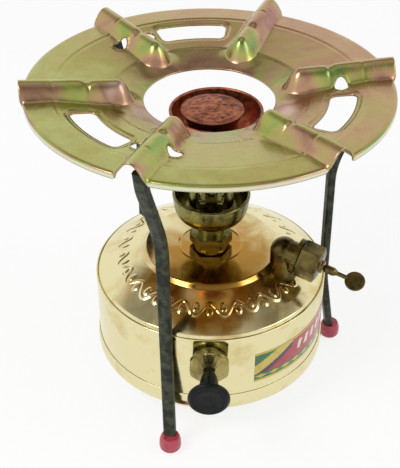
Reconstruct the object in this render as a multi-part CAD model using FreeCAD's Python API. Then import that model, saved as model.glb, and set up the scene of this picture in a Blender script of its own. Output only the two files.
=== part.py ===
import FreeCAD, Part
import math
import os

# Brass kerosene pressure stove: tank on three legs, hand pump, side filler, burner and loose pot ring.
# Millimetres. +Z is up, the floor is Z = 0, the burner stands on the Z axis and the pump points to -Y.

V = FreeCAD.Vector

# ---- Tank -------------------------------------------------------------------------------------
TANK_R = 76.0            # outer radius of the tank wall
WALL_SHEET = 1.0         # sheet of the wall and the bottom pressing
DOME_SHEET = 0.9         # sheet of the domed top
TANK_BASE_Z = 25.2       # lowest edge of the rolled bottom rim
RIM_HEIGHT = 11.2        # height of the rolled bottom rim
RIM_BULGE = 0.3          # how far the rolled rim swells past its own sheet
BOTTOM_RISE = 8.0        # how far the bottom plate is raised above the rim's edge
SHOULDER_Z = 83.3        # top edge of the tank wall
DOME_EDGE_DROP = 3.0     # depth of the dome's turned-down edge inside the wall
DOME_ROUND = 2.0         # rounding of the dome's shoulder
PLATEAU_Z = 100.0        # flat middle of the dome
PLATEAU_R = 43.0         # edge of the flat middle
STEP_DROP = 2.6          # height of the stamped step around the flat middle
STEP_WIDTH = 2.4         # width of that step
DOME_CROWN = 0.9         # how far the sloping part bows above a straight line
SEAM_GAP = 0.1           # soldered gap between pieces of the tank

# ---- Legs and feet ----------------------------------------------------------------------------
LEG_COUNT = 3
LEG_SIDES = ("left", "right", "rear")
LEG_LOW_ANGLES = (-109.2, 11.5, 127.0)   # direction of each leg at the lower end of its upright stretch
LEG_HIGH_ANGLES = (-110.8, 11.5, 127.8)  # at the upper end of that stretch
LEG_TIP_ANGLES = (-110.5, 10.0, 129.4)    # at its tip
LEG_FOOT_TURN_ANGLE = 3.7                # how much further round the foot stands
LEG_WIDTH = 7.8          # across the radius
LEG_DEPTH = 5.0          # along the radius
LEG_EDGE_R = 1.5         # rounding of the bar's edges
LEG_STANDOFF = 1.2       # gap between wall and leg that the saddle fills
LEG_STRAIGHT_LOW_Z = 62.0
LEG_STRAIGHT_HIGH_Z = 155.0
LEG_LEAN = 1.6           # how far the upright stretch leans in towards its top
LEG_FOOT_SPREAD = 11.6   # how far the foot end stands outside the upright stretch
LEG_END_Z = 3.0          # lower end of the bar inside its cap
LEG_BEND_R = 60.0        # gentle bends at the upright stretch
LEG_HIP_BELOW = 12.0     # where the upper bend lies below the pot ring's rim
LEG_HIP_INSET = 7.5      # and inside it
LEG_HIP_BEND_R = 30.0
LEG_TIP_INSET = 4.0      # leg tip inside the pot ring's rim
SADDLE_Z = 75.0
SADDLE_HEIGHT = 13.0
SADDLE_WIDTH = 9.4
RIVET_R = 1.6
FOOT_R = 6.9             # bulb of the foot cap
FOOT_FLAT_R = 4.2        # flat that stands on the floor
FOOT_HEIGHT = 11.6
FOOT_MOUTH_R = 5.6       # upper edge of the cap
SLIP_FIT = 0.05          # radial clearance of plain fits within one body

# ---- Pot ring ---------------------------------------------------------------------------------
RING_R = 109.0
RING_Z = 217.0           # top of the ring's rim
RING_SHIFT_X = -1.8      # where the loose ring sits, from the burner's axis
RING_SHIFT_Y = 0.3
RING_SHEET = 1.0
RING_FLANGE = 3.6        # downturned rim
RING_OPENING_R = 39.0
RING_OPENING_DEPTH = 10.0
RING_CREASE_R = 58.5     # inner crease of the dish
RING_CREASE_DEPTH = 5.6
RING_RIM_FLAT = 17.0     # width of the level band inside the rim
RIB_COUNT = 6
RIB_ANGLE = -111.0       # direction of the first rib, which sits on the left leg
RIB_SEAT_RISE = 9.5      # flat on the crest's outer end, above the rim
RIB_SEAT_TRIM = 0.3      # crest pressed down to make that flat
RIB_CREST_FALL = 3.6     # how much lower the crest is towards the middle
RIB_OVERHANG = 1.2       # outer end past the rim
RIB_HALF_WIDTH = 8.8
RIB_CREST_R = 3.8        # rounding of the crest
RIB_NOSE_R = 43.0        # inner end of the rib
RIB_NOSE_LENGTH = 8.0
WINDOW_IN_R = 70.5
WINDOW_OUT_R = 86.0
WINDOW_HALF_ANGLE = 16.0
WINDOW_CORNER_R = 4.0
EYELET_R = 4.0           # round holes beside the ribs that sit on legs
EYELET_CIRCLE_R = 77.5
EYELET_ANGLE = 8.0
SEAT_GAP = 0.3           # clearance of a loose piece from its seat

# ---- Pump -------------------------------------------------------------------------------------
PUMP_Z = 69.5
PUMP_BORE_R = 8.6
PUMP_TUBE_WALL = 1.4
PUMP_INNER_END = 24.0    # inner end of the barrel, from the tank's axis
PUMP_END_WALL = 2.0
PUMP_CAP_FLAT = 23.4     # across the flats
PUMP_CAP_R = 12.8        # corners turned down to this radius
PUMP_CAP_EDGE = 0.5      # chamfer of the turned corners
PUMP_CAP_LENGTH = 6.4    # from the open end to the tip of the cone
PUMP_CAP_CONE = 2.8      # rise of the end face towards the rod
PUMP_CAP_TIP_R = 5.0     # flat tip of that cone
PUMP_CAP_TOP = 4.0       # thickness of the cap's end around the rod
PUMP_CAP_SKIRT_GAP = 6.6  # bare barrel between tank wall and cap
ROD_R = 2.5
ROD_FIT = 0.06           # running clearance around the rod
ROD_COLLAR_R = 3.6
ROD_COLLAR = 2.0
PISTON_GAP = 2.4         # end wall to piston nut when pushed in
PISTON_NUT_FLAT = 6.4
PISTON_NUT_LENGTH = 3.0
LEATHER_FIT = 0.1
LEATHER_SHEET = 1.3
LEATHER_LIP = 2.4
PISTON_WASHER_R = 6.6
PISTON_WASHER = 1.0
KNOB_R = 12.6
KNOB_LENGTH = 4.2        # thickness of the disc
KNOB_ROUND = 1.2
KNOB_NECK_R = 6.2
KNOB_NECK_TIP_R = 3.4
KNOB_NECK_LENGTH = 19.0
KNOB_REST_GAP = 0.8      # knob to pump cap when pushed in
KNOB_SOCKET = 15.0       # depth of the rod's seat in the knob

# ---- Non-return valve at the barrel's inner end -----------------------------------------------
VALVE_R = 5.5
VALVE_LENGTH = 12.5
VALVE_SPIGOT_R = 3.0
VALVE_PORT_R = 0.8
VALVE_CHAMBER_R = 3.2
VALVE_SEAT = 1.2
PIP_FIT = 0.1
PIP_LENGTH = 3.4
PIP_TRAVEL = 1.2
SPRING_WIRE_R = 0.3
SPRING_R = 2.2
SPRING_TURNS = 4
VALVE_PLUG = 2.0
VALVE_PLUG_HEAD = 1.2

# ---- Filler -----------------------------------------------------------------------------------
FILLER_ANGLE = -25.0     # direction of elbow and mouth seen from the tank's axis
FILLER_INSET = 24.7      # elbow's axis inside the tank wall
FILLER_Z = 111.6         # centre of the elbow
FILLER_DIP = 10.0        # how far the mouth points below level, degrees
ELBOW_R = 8.8
ELBOW_BORE_R = 6.0
ELBOW_ROOT = 3.0         # how far the elbow reaches through the dome
SPIGOT_R = 8.2
SPIGOT_LENGTH = 19.3     # mouth of the spigot from the elbow's centre
COLLAR_R = 11.8
COLLAR_AT = 8.2
COLLAR_LENGTH = 2.8
FILLER_CAP_FLAT = 21.0
FILLER_CAP_AT = 11.5     # open end of the cap from the elbow's centre
FILLER_CAP_LENGTH = 13.4
FILLER_THREAD_GAP = 0.3
GASKET_SHEET = 1.4
GASKET_HOLE_R = 3.0
FILLER_CAP_BOSS_R = 4.2
FILLER_CAP_BOSS = 2.2
AIR_STEM_R = 1.5
AIR_FIT = 0.06
AIR_STEM_INSIDE = 4.6    # screw tip below the boss's end
AIR_SHANK_R = 2.7
AIR_SHANK_GAP = 0.4
AIR_SHANK_LENGTH = 9.0
AIR_NECK_R = 1.4
AIR_NECK_LENGTH = 5.4
AIR_DISC_R = 6.4
AIR_DISC_SHEET = 1.8

# ---- Burner -----------------------------------------------------------------------------------
BOSS_R = 11.0
BOSS_RISE = 1.6          # above the flat middle of the dome
BOSS_DEPTH = 6.0         # below it
BURNER_SPIGOT_R = 6.6
GASKET_R = 10.6
RISER_GASKET = 1.0
NUT_FLAT = 24.0
NUT_HEIGHT = 7.6
STEM_R = 8.4
CUP_Z = 119.0            # underside of the spirit cup's floor
CUP_SHEET = 1.0
CUP_FLOOR_R = 13.0
CUP_R = 24.3
CUP_HEIGHT = 21.5
CUP_BEAD_R = 0.9
BLOCK_R = 7.0
BLOCK_TOP_Z = 137.0
BURNER_TUBE_COUNT = 4
BURNER_TUBE_R = 3.0
BURNER_TUBE_SPREAD = 15.4
BURNER_TUBE_LOW_Z = 132.5
BURNER_TUBE_RISE = 5.5
BURNER_TUBE_BEND_R = 5.0
HEAD_Z = 174.0
HEAD_R = 11.6
HEAD_HEIGHT = 6.0
MIXING_R = 6.4
MIXING_BORE_R = 4.8
MIXING_LENGTH = 15.0
HEAD_SPIGOT = 3.4
JET_FLAT = 7.0
JET_HEX = 4.0
JET_CONE = 4.0
JET_TIP_R = 1.2
DIP_TUBE_R = 3.5
DIP_TUBE_WALL = 0.7
DIP_TUBE_GAP = 3.0       # lower end above the tank's bottom plate
OUTER_CAP_RIM_R = 27.9
OUTER_CAP_FLOOR_R = 14.5
OUTER_CAP_PLAY = 2.6     # radial play of the loose cup's hole around the mixing tube
OUTER_CAP_SHIFT_X = 2.3  # where the loose cup sits, from the burner's axis
OUTER_CAP_HEIGHT = 20.0
OUTER_CAP_SHEET = 1.0
OUTER_CAP_BEAD_R = 0.9
INNER_CAP_R = 19.0
INNER_CAP_ROOT_R = 10.6
INNER_CAP_SHEET = 1.0
INNER_CAP_CROWN = 1.3
INNER_CAP_OVER = 0.4     # edge of the inner cap above the outer cap's rim
FLAME_HOLE_COUNT = 16
FLAME_HOLE_R = 1.1

# ---- Side label -------------------------------------------------------------------------------
LABEL_START_ANGLE = -68.0
LABEL_END_ANGLE = -4.0
LABEL_LOW_Z = 43.5
LABEL_HIGH_Z = 67.0
LABEL_SHEET = 0.2

# ---- Sizes worked out from those above --------------------------------------------------------
WALL_IN_R = TANK_R - WALL_SHEET
DOME_EDGE_R = WALL_IN_R - SEAM_GAP
SEAM_Z = TANK_BASE_Z + RIM_HEIGHT
BOTTOM_PLATE_TOP_Z = TANK_BASE_Z + BOTTOM_RISE + WALL_SHEET
STEP_OUT_R = PLATEAU_R + STEP_WIDTH
STEP_FOOT_Z = PLATEAU_Z - STEP_DROP
FILLER_RADIUS = TANK_R - FILLER_INSET
LEG_R = TANK_R + LEG_STANDOFF + LEG_DEPTH / 2
LEG_TIP_R = RING_R - LEG_TIP_INSET
RING_OPENING_Z = RING_Z - RING_OPENING_DEPTH
RING_CREASE_Z = RING_Z - RING_CREASE_DEPTH
RING_FLAT_IN_R = RING_R - RING_RIM_FLAT
RIB_SEAT_Z = RING_Z + RIB_SEAT_RISE
RIB_CREST_Z = RIB_SEAT_Z + RIB_SEAT_TRIM
PUMP_TUBE_R = PUMP_BORE_R + PUMP_TUBE_WALL
PUMP_CAP_START = TANK_R + PUMP_CAP_SKIRT_GAP
PUMP_CAP_END = PUMP_CAP_START + PUMP_CAP_LENGTH
PUMP_MOUTH = PUMP_CAP_END - PUMP_CAP_TOP - SEAT_GAP
PISTON_START = PUMP_INNER_END + PUMP_END_WALL + PISTON_GAP
LEATHER_START = PISTON_START + PISTON_NUT_LENGTH
PISTON_WASHER_START = LEATHER_START + LEATHER_SHEET
ROD_COLLAR_START = PISTON_WASHER_START + PISTON_WASHER
KNOB_START = PUMP_CAP_END + KNOB_REST_GAP
CAP_BORE_R = SPIGOT_R + FILLER_THREAD_GAP
GASKET_START = SPIGOT_LENGTH + SEAT_GAP
FILLER_CAP_INNER = GASKET_START + GASKET_SHEET + SEAM_GAP
FILLER_CAP_END = FILLER_CAP_AT + FILLER_CAP_LENGTH
AIR_SHANK_START = FILLER_CAP_END + FILLER_CAP_BOSS + AIR_SHANK_GAP
BOSS_TOP_Z = PLATEAU_Z + BOSS_RISE
NUT_Z = BOSS_TOP_Z + RISER_GASKET
HEAD_TOP_Z = HEAD_Z + HEAD_HEIGHT
OUTER_CAP_Z = HEAD_TOP_Z + SEAT_GAP
OUTER_CAP_RIM_Z = OUTER_CAP_Z + OUTER_CAP_HEIGHT
INNER_CAP_Z = OUTER_CAP_Z + OUTER_CAP_SHEET + SEAT_GAP
INNER_CAP_EDGE_Z = OUTER_CAP_RIM_Z + INNER_CAP_OVER


# ---- Helpers ----------------------------------------------------------------------------------
def profile_face(start, *steps):
    """Face in the XZ plane: each step is a point, or a middle point and an end point of an arc."""
    edges = []
    here = V(start[0], 0, start[1])
    for step in steps + (start,):
        if isinstance(step[0], tuple):
            middle = V(step[0][0], 0, step[0][1])
            end = V(step[1][0], 0, step[1][1])
            edges.append(Part.Arc(here, middle, end).toShape())
        else:
            end = V(step[0], 0, step[1])
            if end.distanceToPoint(here) < 1e-7:
                continue
            edges.append(Part.makeLine(here, end))
        here = end
    return Part.Face(Part.Wire(edges))


def spun(start, *steps):
    """Solid of revolution about Z."""
    return profile_face(start, *steps).revolve(V(0, 0, 0), V(0, 0, 1), 360)


def tube(outer_r, inner_r, low, high):
    """Plain ring or tube along Z."""
    body = Part.makeCylinder(outer_r, high - low, V(0, 0, low))
    return body.cut(Part.makeCylinder(inner_r, high - low, V(0, 0, low)))


def rod(radius, low, high):
    """Plain round bar along Z."""
    return Part.makeCylinder(radius, high - low, V(0, 0, low))


def hexagon(across_flats, low, high, chamfer=0.0):
    """Hexagon bar along Z, with its upper corners turned down if chamfer is given."""
    corner_r = across_flats / math.sqrt(3)
    points = [V(corner_r * math.cos(math.radians(60 * i)), corner_r * math.sin(math.radians(60 * i)), low)
              for i in range(7)]
    bar = Part.Face(Part.makePolygon(points)).extrude(V(0, 0, high - low))
    if chamfer:
        turned = spun((0, low), (corner_r, low), (corner_r, high - chamfer),
                      (corner_r - 2 * chamfer, high), (0, high))
        bar = bar.common(turned)
    return bar


def polar(radius, angle, height=0.0):
    """Point at a distance and a direction from the tank's axis."""
    turn = math.radians(angle)
    return V(radius * math.cos(turn), radius * math.sin(turn), height)


def around(shape, angle):
    """The shape turned about the tank's axis."""
    turned = shape.copy()
    turned.rotate(V(0, 0, 0), V(0, 0, 1), angle)
    return turned


def along(shape, origin, direction):
    """A shape modelled along +Z, laid along a direction from an origin."""
    placed = shape.copy()
    lay = FreeCAD.Placement(origin, FreeCAD.Rotation(V(0, 0, 1), direction))
    placed.Placement = lay.multiply(placed.Placement)
    return placed


def rounded_path(points, radii):
    """Wire of straight runs joined by tangent arcs; one radius for each inner point."""
    edges = []
    here = points[0]
    for before, corner, after, radius in zip(points, points[1:], points[2:], radii):
        back = (before - corner).normalize()
        ahead = (after - corner).normalize()
        half = math.acos(max(-1.0, min(1.0, back.dot(ahead)))) / 2
        reach = radius / math.tan(half)
        inward = (back + ahead).normalize()
        centre = corner + inward * (radius / math.sin(half))
        first = corner + back * reach
        last = corner + ahead * reach
        edges.append(Part.makeLine(here, first))
        edges.append(Part.Arc(first, centre - inward * radius, last).toShape())
        here = last
    edges.append(Part.makeLine(here, points[-1]))
    return Part.Wire(edges)


def rounded_bar(width, depth, edge_r):
    """Closed outline of a bar: width along Y, depth along X, in the XY plane around the origin."""
    block = Part.makeBox(depth, width, 1.0, V(-depth / 2, -width / 2, 0))
    uprights = [e for e in block.Edges if abs(e.tangentAt(e.FirstParameter).z) > 0.99]
    block = block.makeFillet(edge_r, uprights)
    base = min(block.Faces, key=lambda f: f.CenterOfMass.z)
    return base.OuterWire


# ---- Tank -------------------------------------------------------------------------------------
def dome_profile_z(radius):
    """Height of the dome's sloping outer face at a radius, on the chord between step and shoulder."""
    shoulder_z = SHOULDER_Z + DOME_ROUND * 0.8
    share = (radius - STEP_OUT_R) / (DOME_EDGE_R - DOME_ROUND - STEP_OUT_R)
    return STEP_FOOT_Z + (shoulder_z - STEP_FOOT_Z) * share


def make_tank_top():
    """Domed top: flat middle, stamped step, sloping crown and an edge turned down into the wall."""
    t = DOME_SHEET
    hole = BOSS_R + SEAM_GAP
    slope_r = DOME_EDGE_R - DOME_ROUND
    mid_r = (STEP_OUT_R + slope_r) / 2
    mid_z = dome_profile_z(mid_r) + DOME_CROWN
    slope_z = dome_profile_z(slope_r)
    low_z = SHOULDER_Z - DOME_EDGE_DROP
    round_z = SHOULDER_Z - 0.3
    shell = spun((hole, PLATEAU_Z), (PLATEAU_R, PLATEAU_Z), (STEP_OUT_R, STEP_FOOT_Z),
                 ((mid_r, mid_z), (slope_r, slope_z)),
                 ((slope_r + DOME_ROUND * 0.75, slope_z - DOME_ROUND * 0.45), (DOME_EDGE_R, round_z)),
                 (DOME_EDGE_R, low_z), (DOME_EDGE_R - t, low_z), (DOME_EDGE_R - t, round_z - t * 0.4),
                 (slope_r - t * 0.4, slope_z - t),
                 ((mid_r - t * 0.4, mid_z - t), (STEP_OUT_R - t * 0.4, STEP_FOOT_Z - t)),
                 (PLATEAU_R - t * 0.4, PLATEAU_Z - t), (hole, PLATEAU_Z - t))
    neck_hole = rod(ELBOW_R + SEAM_GAP, SHOULDER_Z, FILLER_Z)
    neck_hole.translate(filler_centre() - V(0, 0, FILLER_Z))
    return shell.cut(neck_hole)


def make_tank_wall():
    """Plain drawn wall with the hole that the pump barrel passes through."""
    wall = tube(TANK_R, WALL_IN_R, TANK_BASE_Z + WALL_SHEET + SEAM_GAP, SHOULDER_Z)
    return wall.cut(on_pump_axis(rod(PUMP_TUBE_R + SEAM_GAP, 0, 2 * TANK_R)))


def make_tank_bottom():
    """Raised bottom plate with a channel rim that takes the wall's lower edge."""
    t = WALL_SHEET
    inner_r = WALL_IN_R - SEAM_GAP
    outer_r = TANK_R + SEAM_GAP
    plate_z = TANK_BASE_Z + BOTTOM_RISE
    return spun((0, plate_z), (inner_r - t, plate_z), (inner_r - t, TANK_BASE_Z),
                (outer_r + t * 0.6, TANK_BASE_Z),
                ((outer_r + t + RIM_BULGE, TANK_BASE_Z + RIM_HEIGHT * 0.45), (outer_r + t * 0.6, SEAM_Z)),
                (outer_r, SEAM_Z), (outer_r, TANK_BASE_Z + t), (inner_r, TANK_BASE_Z + t),
                (inner_r, plate_z + t), (0, plate_z + t))


def make_label():
    """Thin foil label on the tank's side."""
    inner_r = TANK_R + SLIP_FIT
    foil = tube(inner_r + LABEL_SHEET, inner_r, LABEL_LOW_Z, LABEL_HIGH_Z)
    reach = 2 * TANK_R
    wedge = Part.makeCylinder(reach, SHOULDER_Z, V(0, 0, 0), V(0, 0, 1), LABEL_END_ANGLE - LABEL_START_ANGLE)
    return foil.common(around(wedge, LABEL_START_ANGLE))


# ---- Legs -------------------------------------------------------------------------------------
def rib_outline(radius):
    """Crest height, half width and crest rounding of a rib at a radius."""
    nose_end = RIB_NOSE_R + RIB_NOSE_LENGTH
    level_z = RIB_CREST_Z - RIB_CREST_FALL
    if radius >= nose_end:
        share = (radius - nose_end) / (RING_R + RIB_OVERHANG - nose_end)
        return level_z + RIB_CREST_FALL * share, RIB_HALF_WIDTH * (0.93 + 0.07 * share)
    share = math.sqrt(max(0.0, (radius - RIB_NOSE_R) / RIB_NOSE_LENGTH))
    nose_z = ring_top_z(RIB_NOSE_R) + RING_SHEET
    return nose_z + (level_z - nose_z) * share, RIB_HALF_WIDTH * (0.6 + 0.33 * share)


def rib_flank(radius, base_z):
    """Tangent point of crest and flank, and the flank's slope, of a rib's section."""
    crest_z, half_width = rib_outline(radius)
    centre_z = crest_z - RIB_CREST_R
    reach = math.hypot(half_width, base_z - centre_z)
    angle = math.atan2(base_z - centre_z, half_width) + math.acos(RIB_CREST_R / reach)
    touch_y = RIB_CREST_R * math.cos(angle)
    touch_z = centre_z + RIB_CREST_R * math.sin(angle)
    slope = math.atan2(touch_z - base_z, half_width - touch_y)
    return angle, slope


def leg_tip(index):
    """Point at which a leg's flat tip just clears the inside of its rib."""
    tip = polar(LEG_TIP_R, LEG_TIP_ANGLES[index])
    from_middle = tip - V(RING_SHIFT_X, RING_SHIFT_Y, 0)
    rib_line = polar(1.0, RIB_ANGLE + 360.0 / LEG_COUNT * index)
    inner_r = from_middle.dot(rib_line) - LEG_DEPTH / 2
    corner_y = from_middle.cross(rib_line).Length + LEG_WIDTH / 2
    base_z = ring_top_z(inner_r) - RING_SHEET / 2
    crest_z, half_width = rib_outline(inner_r)
    angle, slope = rib_flank(inner_r, base_z)
    inside_r = RIB_CREST_R - RING_SHEET
    touch_y = inside_r * math.cos(angle)
    touch_z = crest_z - RIB_CREST_R + inside_r * math.sin(angle)
    return tip + V(0, 0, touch_z - (corner_y - touch_y) * math.tan(slope) - SEAT_GAP / math.cos(slope))


def leg_start(index):
    """Lower end of a leg's bar, inside its foot cap."""
    low = polar(LEG_R + LEG_FOOT_SPREAD, LEG_LOW_ANGLES[index] + LEG_FOOT_TURN_ANGLE)
    bend = polar(LEG_R, LEG_LOW_ANGLES[index], LEG_STRAIGHT_LOW_Z)
    return low + (bend - low) * (LEG_END_Z / LEG_STRAIGHT_LOW_Z)


def leg_bar(index, grow=0.0):
    """Bent bar from foot cap to pot ring, with its section grown by a clearance."""
    start = leg_start(index)
    bend = polar(LEG_R, LEG_LOW_ANGLES[index], LEG_STRAIGHT_LOW_Z)
    high = polar(LEG_R - LEG_LEAN, LEG_HIGH_ANGLES[index], LEG_STRAIGHT_HIGH_Z)
    hip = polar(RING_R - LEG_HIP_INSET, LEG_TIP_ANGLES[index], RING_Z - LEG_HIP_BELOW)
    tip = leg_tip(index)
    path = rounded_path([start, bend, high, hip, tip + V(0, 0, LEG_DEPTH)],
                        [LEG_BEND_R, LEG_BEND_R, LEG_HIP_BEND_R])
    across = polar(1.0, LEG_LOW_ANGLES[index] + 90)
    section = rounded_bar(LEG_WIDTH + 2 * grow, LEG_DEPTH + 2 * grow, LEG_EDGE_R)
    rise = (bend - start).normalize()
    section.Placement = FreeCAD.Placement(start, FreeCAD.Rotation(across.cross(rise), across, rise, "ZYX"))
    sweep = Part.BRepOffsetAPI.MakePipeShell(path)
    sweep.setBiNormalMode(across)
    sweep.add(section)
    sweep.build()
    sweep.makeSolid()
    ceiling = Part.makeCylinder(2 * LEG_WIDTH, 4 * LEG_DEPTH, tip)
    return sweep.shape().cut(ceiling)


def rivet_through(index, radius, extra=0.0):
    """Rivet shank along the radius, from the saddle's inside to the leg's outer face."""
    start = TANK_R + SEAM_GAP - extra
    length = LEG_STANDOFF + LEG_DEPTH - SEAM_GAP + 2 * extra
    shank = Part.makeCylinder(radius, length, V(start, 0, SADDLE_Z), V(1, 0, 0))
    return around(shank, LEG_LOW_ANGLES[index])


def make_leg(index):
    """Leg with its rivet hole."""
    return leg_bar(index).cut(rivet_through(index, RIVET_R + SLIP_FIT, LEG_STANDOFF))


def make_saddle(index):
    """Small plate soldered to the wall that carries the leg."""
    plate = Part.makeBox(2 * LEG_STANDOFF, SADDLE_WIDTH, SADDLE_HEIGHT,
                         V(TANK_R - LEG_STANDOFF, -SADDLE_WIDTH / 2, SADDLE_Z - SADDLE_HEIGHT / 2))
    plate = around(plate, LEG_LOW_ANGLES[index]).cut(rod(TANK_R + SLIP_FIT, 0, 2 * SADDLE_Z))
    return plate.cut([leg_bar(index), rivet_through(index, RIVET_R + SLIP_FIT, LEG_STANDOFF)])


def make_foot(index):
    """Bulbous cap pushed over the leg's end."""
    waist_z = FOOT_HEIGHT * 0.42
    bulb = spun((0, 0), (FOOT_FLAT_R, 0),
                ((FOOT_R * 0.91, FOOT_HEIGHT * 0.13), (FOOT_R, waist_z)),
                ((FOOT_R * 0.97, FOOT_HEIGHT * 0.75), (FOOT_MOUTH_R, FOOT_HEIGHT)),
                (0, FOOT_HEIGHT))
    start = leg_start(index)
    bulb.translate(V(start.x, start.y, 0))
    return bulb.cut(leg_bar(index, SLIP_FIT))


# ---- Pot ring ---------------------------------------------------------------------------------
def ring_top_z(radius):
    """Height of the dished plate's upper face at a radius."""
    if radius <= RING_CREASE_R:
        share = (radius - RING_OPENING_R) / (RING_CREASE_R - RING_OPENING_R)
        return RING_OPENING_Z + (RING_CREASE_Z - RING_OPENING_Z) * share
    if radius <= RING_FLAT_IN_R:
        share = (radius - RING_CREASE_R) / (RING_FLAT_IN_R - RING_CREASE_R)
        return RING_CREASE_Z + (RING_Z - RING_CREASE_Z) * share
    return RING_Z


def rib_section(radius, inset, foot_z):
    """Closed wire of a rib's outer section, or of its hollow when inset is the sheet's thickness."""
    base_z = ring_top_z(radius) - RING_SHEET / 2
    crest_z, half_width = rib_outline(radius)
    angle, slope = rib_flank(radius, base_z)
    crest_r = RIB_CREST_R - inset
    touch_y = crest_r * math.cos(angle)
    touch_z = crest_z - RIB_CREST_R + crest_r * math.sin(angle)
    base_y = half_width - inset / math.sin(slope)
    top = V(radius, 0, crest_z - inset)
    left = [V(radius, -base_y, foot_z), V(radius, -base_y, base_z), V(radius, -touch_y, touch_z)]
    right = [V(p.x, -p.y, p.z) for p in reversed(left)]
    edges = [Part.makeLine(left[0], left[1]), Part.makeLine(left[1], left[2]),
             Part.Arc(left[2], top, right[0]).toShape(),
             Part.makeLine(right[0], right[1]), Part.makeLine(right[1], right[2]),
             Part.makeLine(right[2], left[0])]
    return Part.Wire(edges)


def make_rib_pair():
    """One rib's outside and its open hollow, both in the XZ plane."""
    t = RING_SHEET
    outer_end = RING_R + RIB_OVERHANG
    nose = [RIB_NOSE_R + RIB_NOSE_LENGTH * share for share in (0.03, 0.2, 0.5, 1.0)]
    outside_radii = nose + [RING_CREASE_R, RING_FLAT_IN_R, outer_end]
    outside = [rib_section(r, 0.0, ring_top_z(r) - t * 0.8) for r in outside_radii]
    low_z = RING_OPENING_Z - 3 * t
    hollow_nose = [r + 1.2 * t for r in nose[1:]]
    hollow_radii = hollow_nose + [RING_CREASE_R, RING_FLAT_IN_R, outer_end + 2 * t]
    hollow = [rib_section(r, t, low_z) for r in hollow_radii]
    return Part.makeLoft(outside, True, True), Part.makeLoft(hollow, True, True)


def make_window():
    """Cutter for one curved window with round corners, centred on +X."""
    low_z = RING_OPENING_Z - RING_OPENING_DEPTH
    inner, outer = [[polar(radius, angle, low_z) for angle in (-WINDOW_HALF_ANGLE, 0, WINDOW_HALF_ANGLE)]
                    for radius in (WINDOW_IN_R, WINDOW_OUT_R)]
    edges = [Part.Arc(*inner).toShape(), Part.makeLine(inner[2], outer[2]),
             Part.Arc(outer[2], outer[1], outer[0]).toShape(), Part.makeLine(outer[0], inner[0])]
    block = Part.Face(Part.Wire(edges)).extrude(V(0, 0, 3 * RING_OPENING_DEPTH))
    uprights = [e for e in block.Edges if abs(e.tangentAt(e.FirstParameter).z) > 0.99]
    return block.makeFillet(WINDOW_CORNER_R, uprights)


def make_pot_ring():
    """Dished pressing with six raised ribs, three windows and eyelets beside the leg ribs."""
    t = RING_SHEET
    plate = spun((RING_OPENING_R, RING_OPENING_Z), (RING_CREASE_R, RING_CREASE_Z),
                 (RING_FLAT_IN_R, RING_Z), (RING_R - t, RING_Z), (RING_R, RING_Z - t),
                 (RING_R, RING_Z - RING_FLANGE), (RING_R - t, RING_Z - RING_FLANGE),
                 (RING_R - t, RING_Z - t), (RING_FLAT_IN_R, RING_Z - t),
                 (RING_CREASE_R, RING_CREASE_Z - t), (RING_OPENING_R, RING_OPENING_Z - t))
    outside, hollow = make_rib_pair()
    pitch = 360.0 / RIB_COUNT
    angles = [RIB_ANGLE + pitch * i for i in range(RIB_COUNT)]
    ring = plate.fuse([around(outside, a) for a in angles])
    ring = ring.cut([around(hollow, a) for a in angles])
    window = make_window()
    ring = ring.cut([around(window, a + pitch / 2) for a in angles[1::2]])
    eyelet = rod(EYELET_R, RING_OPENING_Z - t, RING_Z + t)
    eyelet.translate(V(EYELET_CIRCLE_R, 0, 0))
    eyelets = [around(eyelet, a + side * EYELET_ANGLE) for a in angles[0::2] for side in (-1, 1)]
    reach = RING_R + 2 * RIB_OVERHANG
    above = Part.makeCylinder(reach, RIB_SEAT_RISE, V(0, 0, RIB_SEAT_Z))
    ring = ring.cut(eyelets + [above]).removeSplitter()
    ring.translate(V(RING_SHIFT_X, RING_SHIFT_Y, 0))
    return ring


# ---- Pump (modelled along +Z from the tank's axis, then laid along -Y) --------------------------
def on_pump_axis(shape):
    """A pump piece laid along the pump's axis, pointing to the front."""
    return along(shape, V(0, 0, PUMP_Z), V(0, -1, 0))


def make_pump_barrel():
    """Barrel through the tank wall, closed at its inner end except for the valve's seat."""
    body = rod(PUMP_TUBE_R, PUMP_INNER_END, PUMP_MOUTH)
    body = body.cut(rod(PUMP_BORE_R, PUMP_INNER_END + PUMP_END_WALL, PUMP_MOUTH + 1))
    return on_pump_axis(body.cut(rod(VALVE_SPIGOT_R + SLIP_FIT, 0, PUMP_MOUTH)))


def make_pump_cap():
    """Thin hexagonal cap with turned corners over the barrel's mouth; its end rises to the rod."""
    edge_z = PUMP_CAP_END - PUMP_CAP_CONE
    turned = spun((0, PUMP_CAP_START), (PUMP_CAP_R - PUMP_CAP_EDGE, PUMP_CAP_START),
                  (PUMP_CAP_R, PUMP_CAP_START + PUMP_CAP_EDGE), (PUMP_CAP_R, edge_z - PUMP_CAP_EDGE),
                  (PUMP_CAP_R - 2 * PUMP_CAP_EDGE, edge_z), (PUMP_CAP_TIP_R, PUMP_CAP_END),
                  (0, PUMP_CAP_END))
    cap = around(hexagon(PUMP_CAP_FLAT, PUMP_CAP_START, PUMP_CAP_END), 30).common(turned)
    cap = cap.cut(rod(PUMP_TUBE_R + SLIP_FIT, PUMP_CAP_START - 1, PUMP_CAP_END - PUMP_CAP_TOP))
    return on_pump_axis(cap.cut(rod(ROD_R + ROD_FIT, 0, KNOB_START)))


def make_pump_rod():
    """Rod with the collar that backs the piston washer."""
    bar = rod(ROD_R, PISTON_START, KNOB_START + KNOB_SOCKET - SEAM_GAP)
    collar = rod(ROD_COLLAR_R, ROD_COLLAR_START, ROD_COLLAR_START + ROD_COLLAR)
    return on_pump_axis(bar.fuse(collar))


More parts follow.
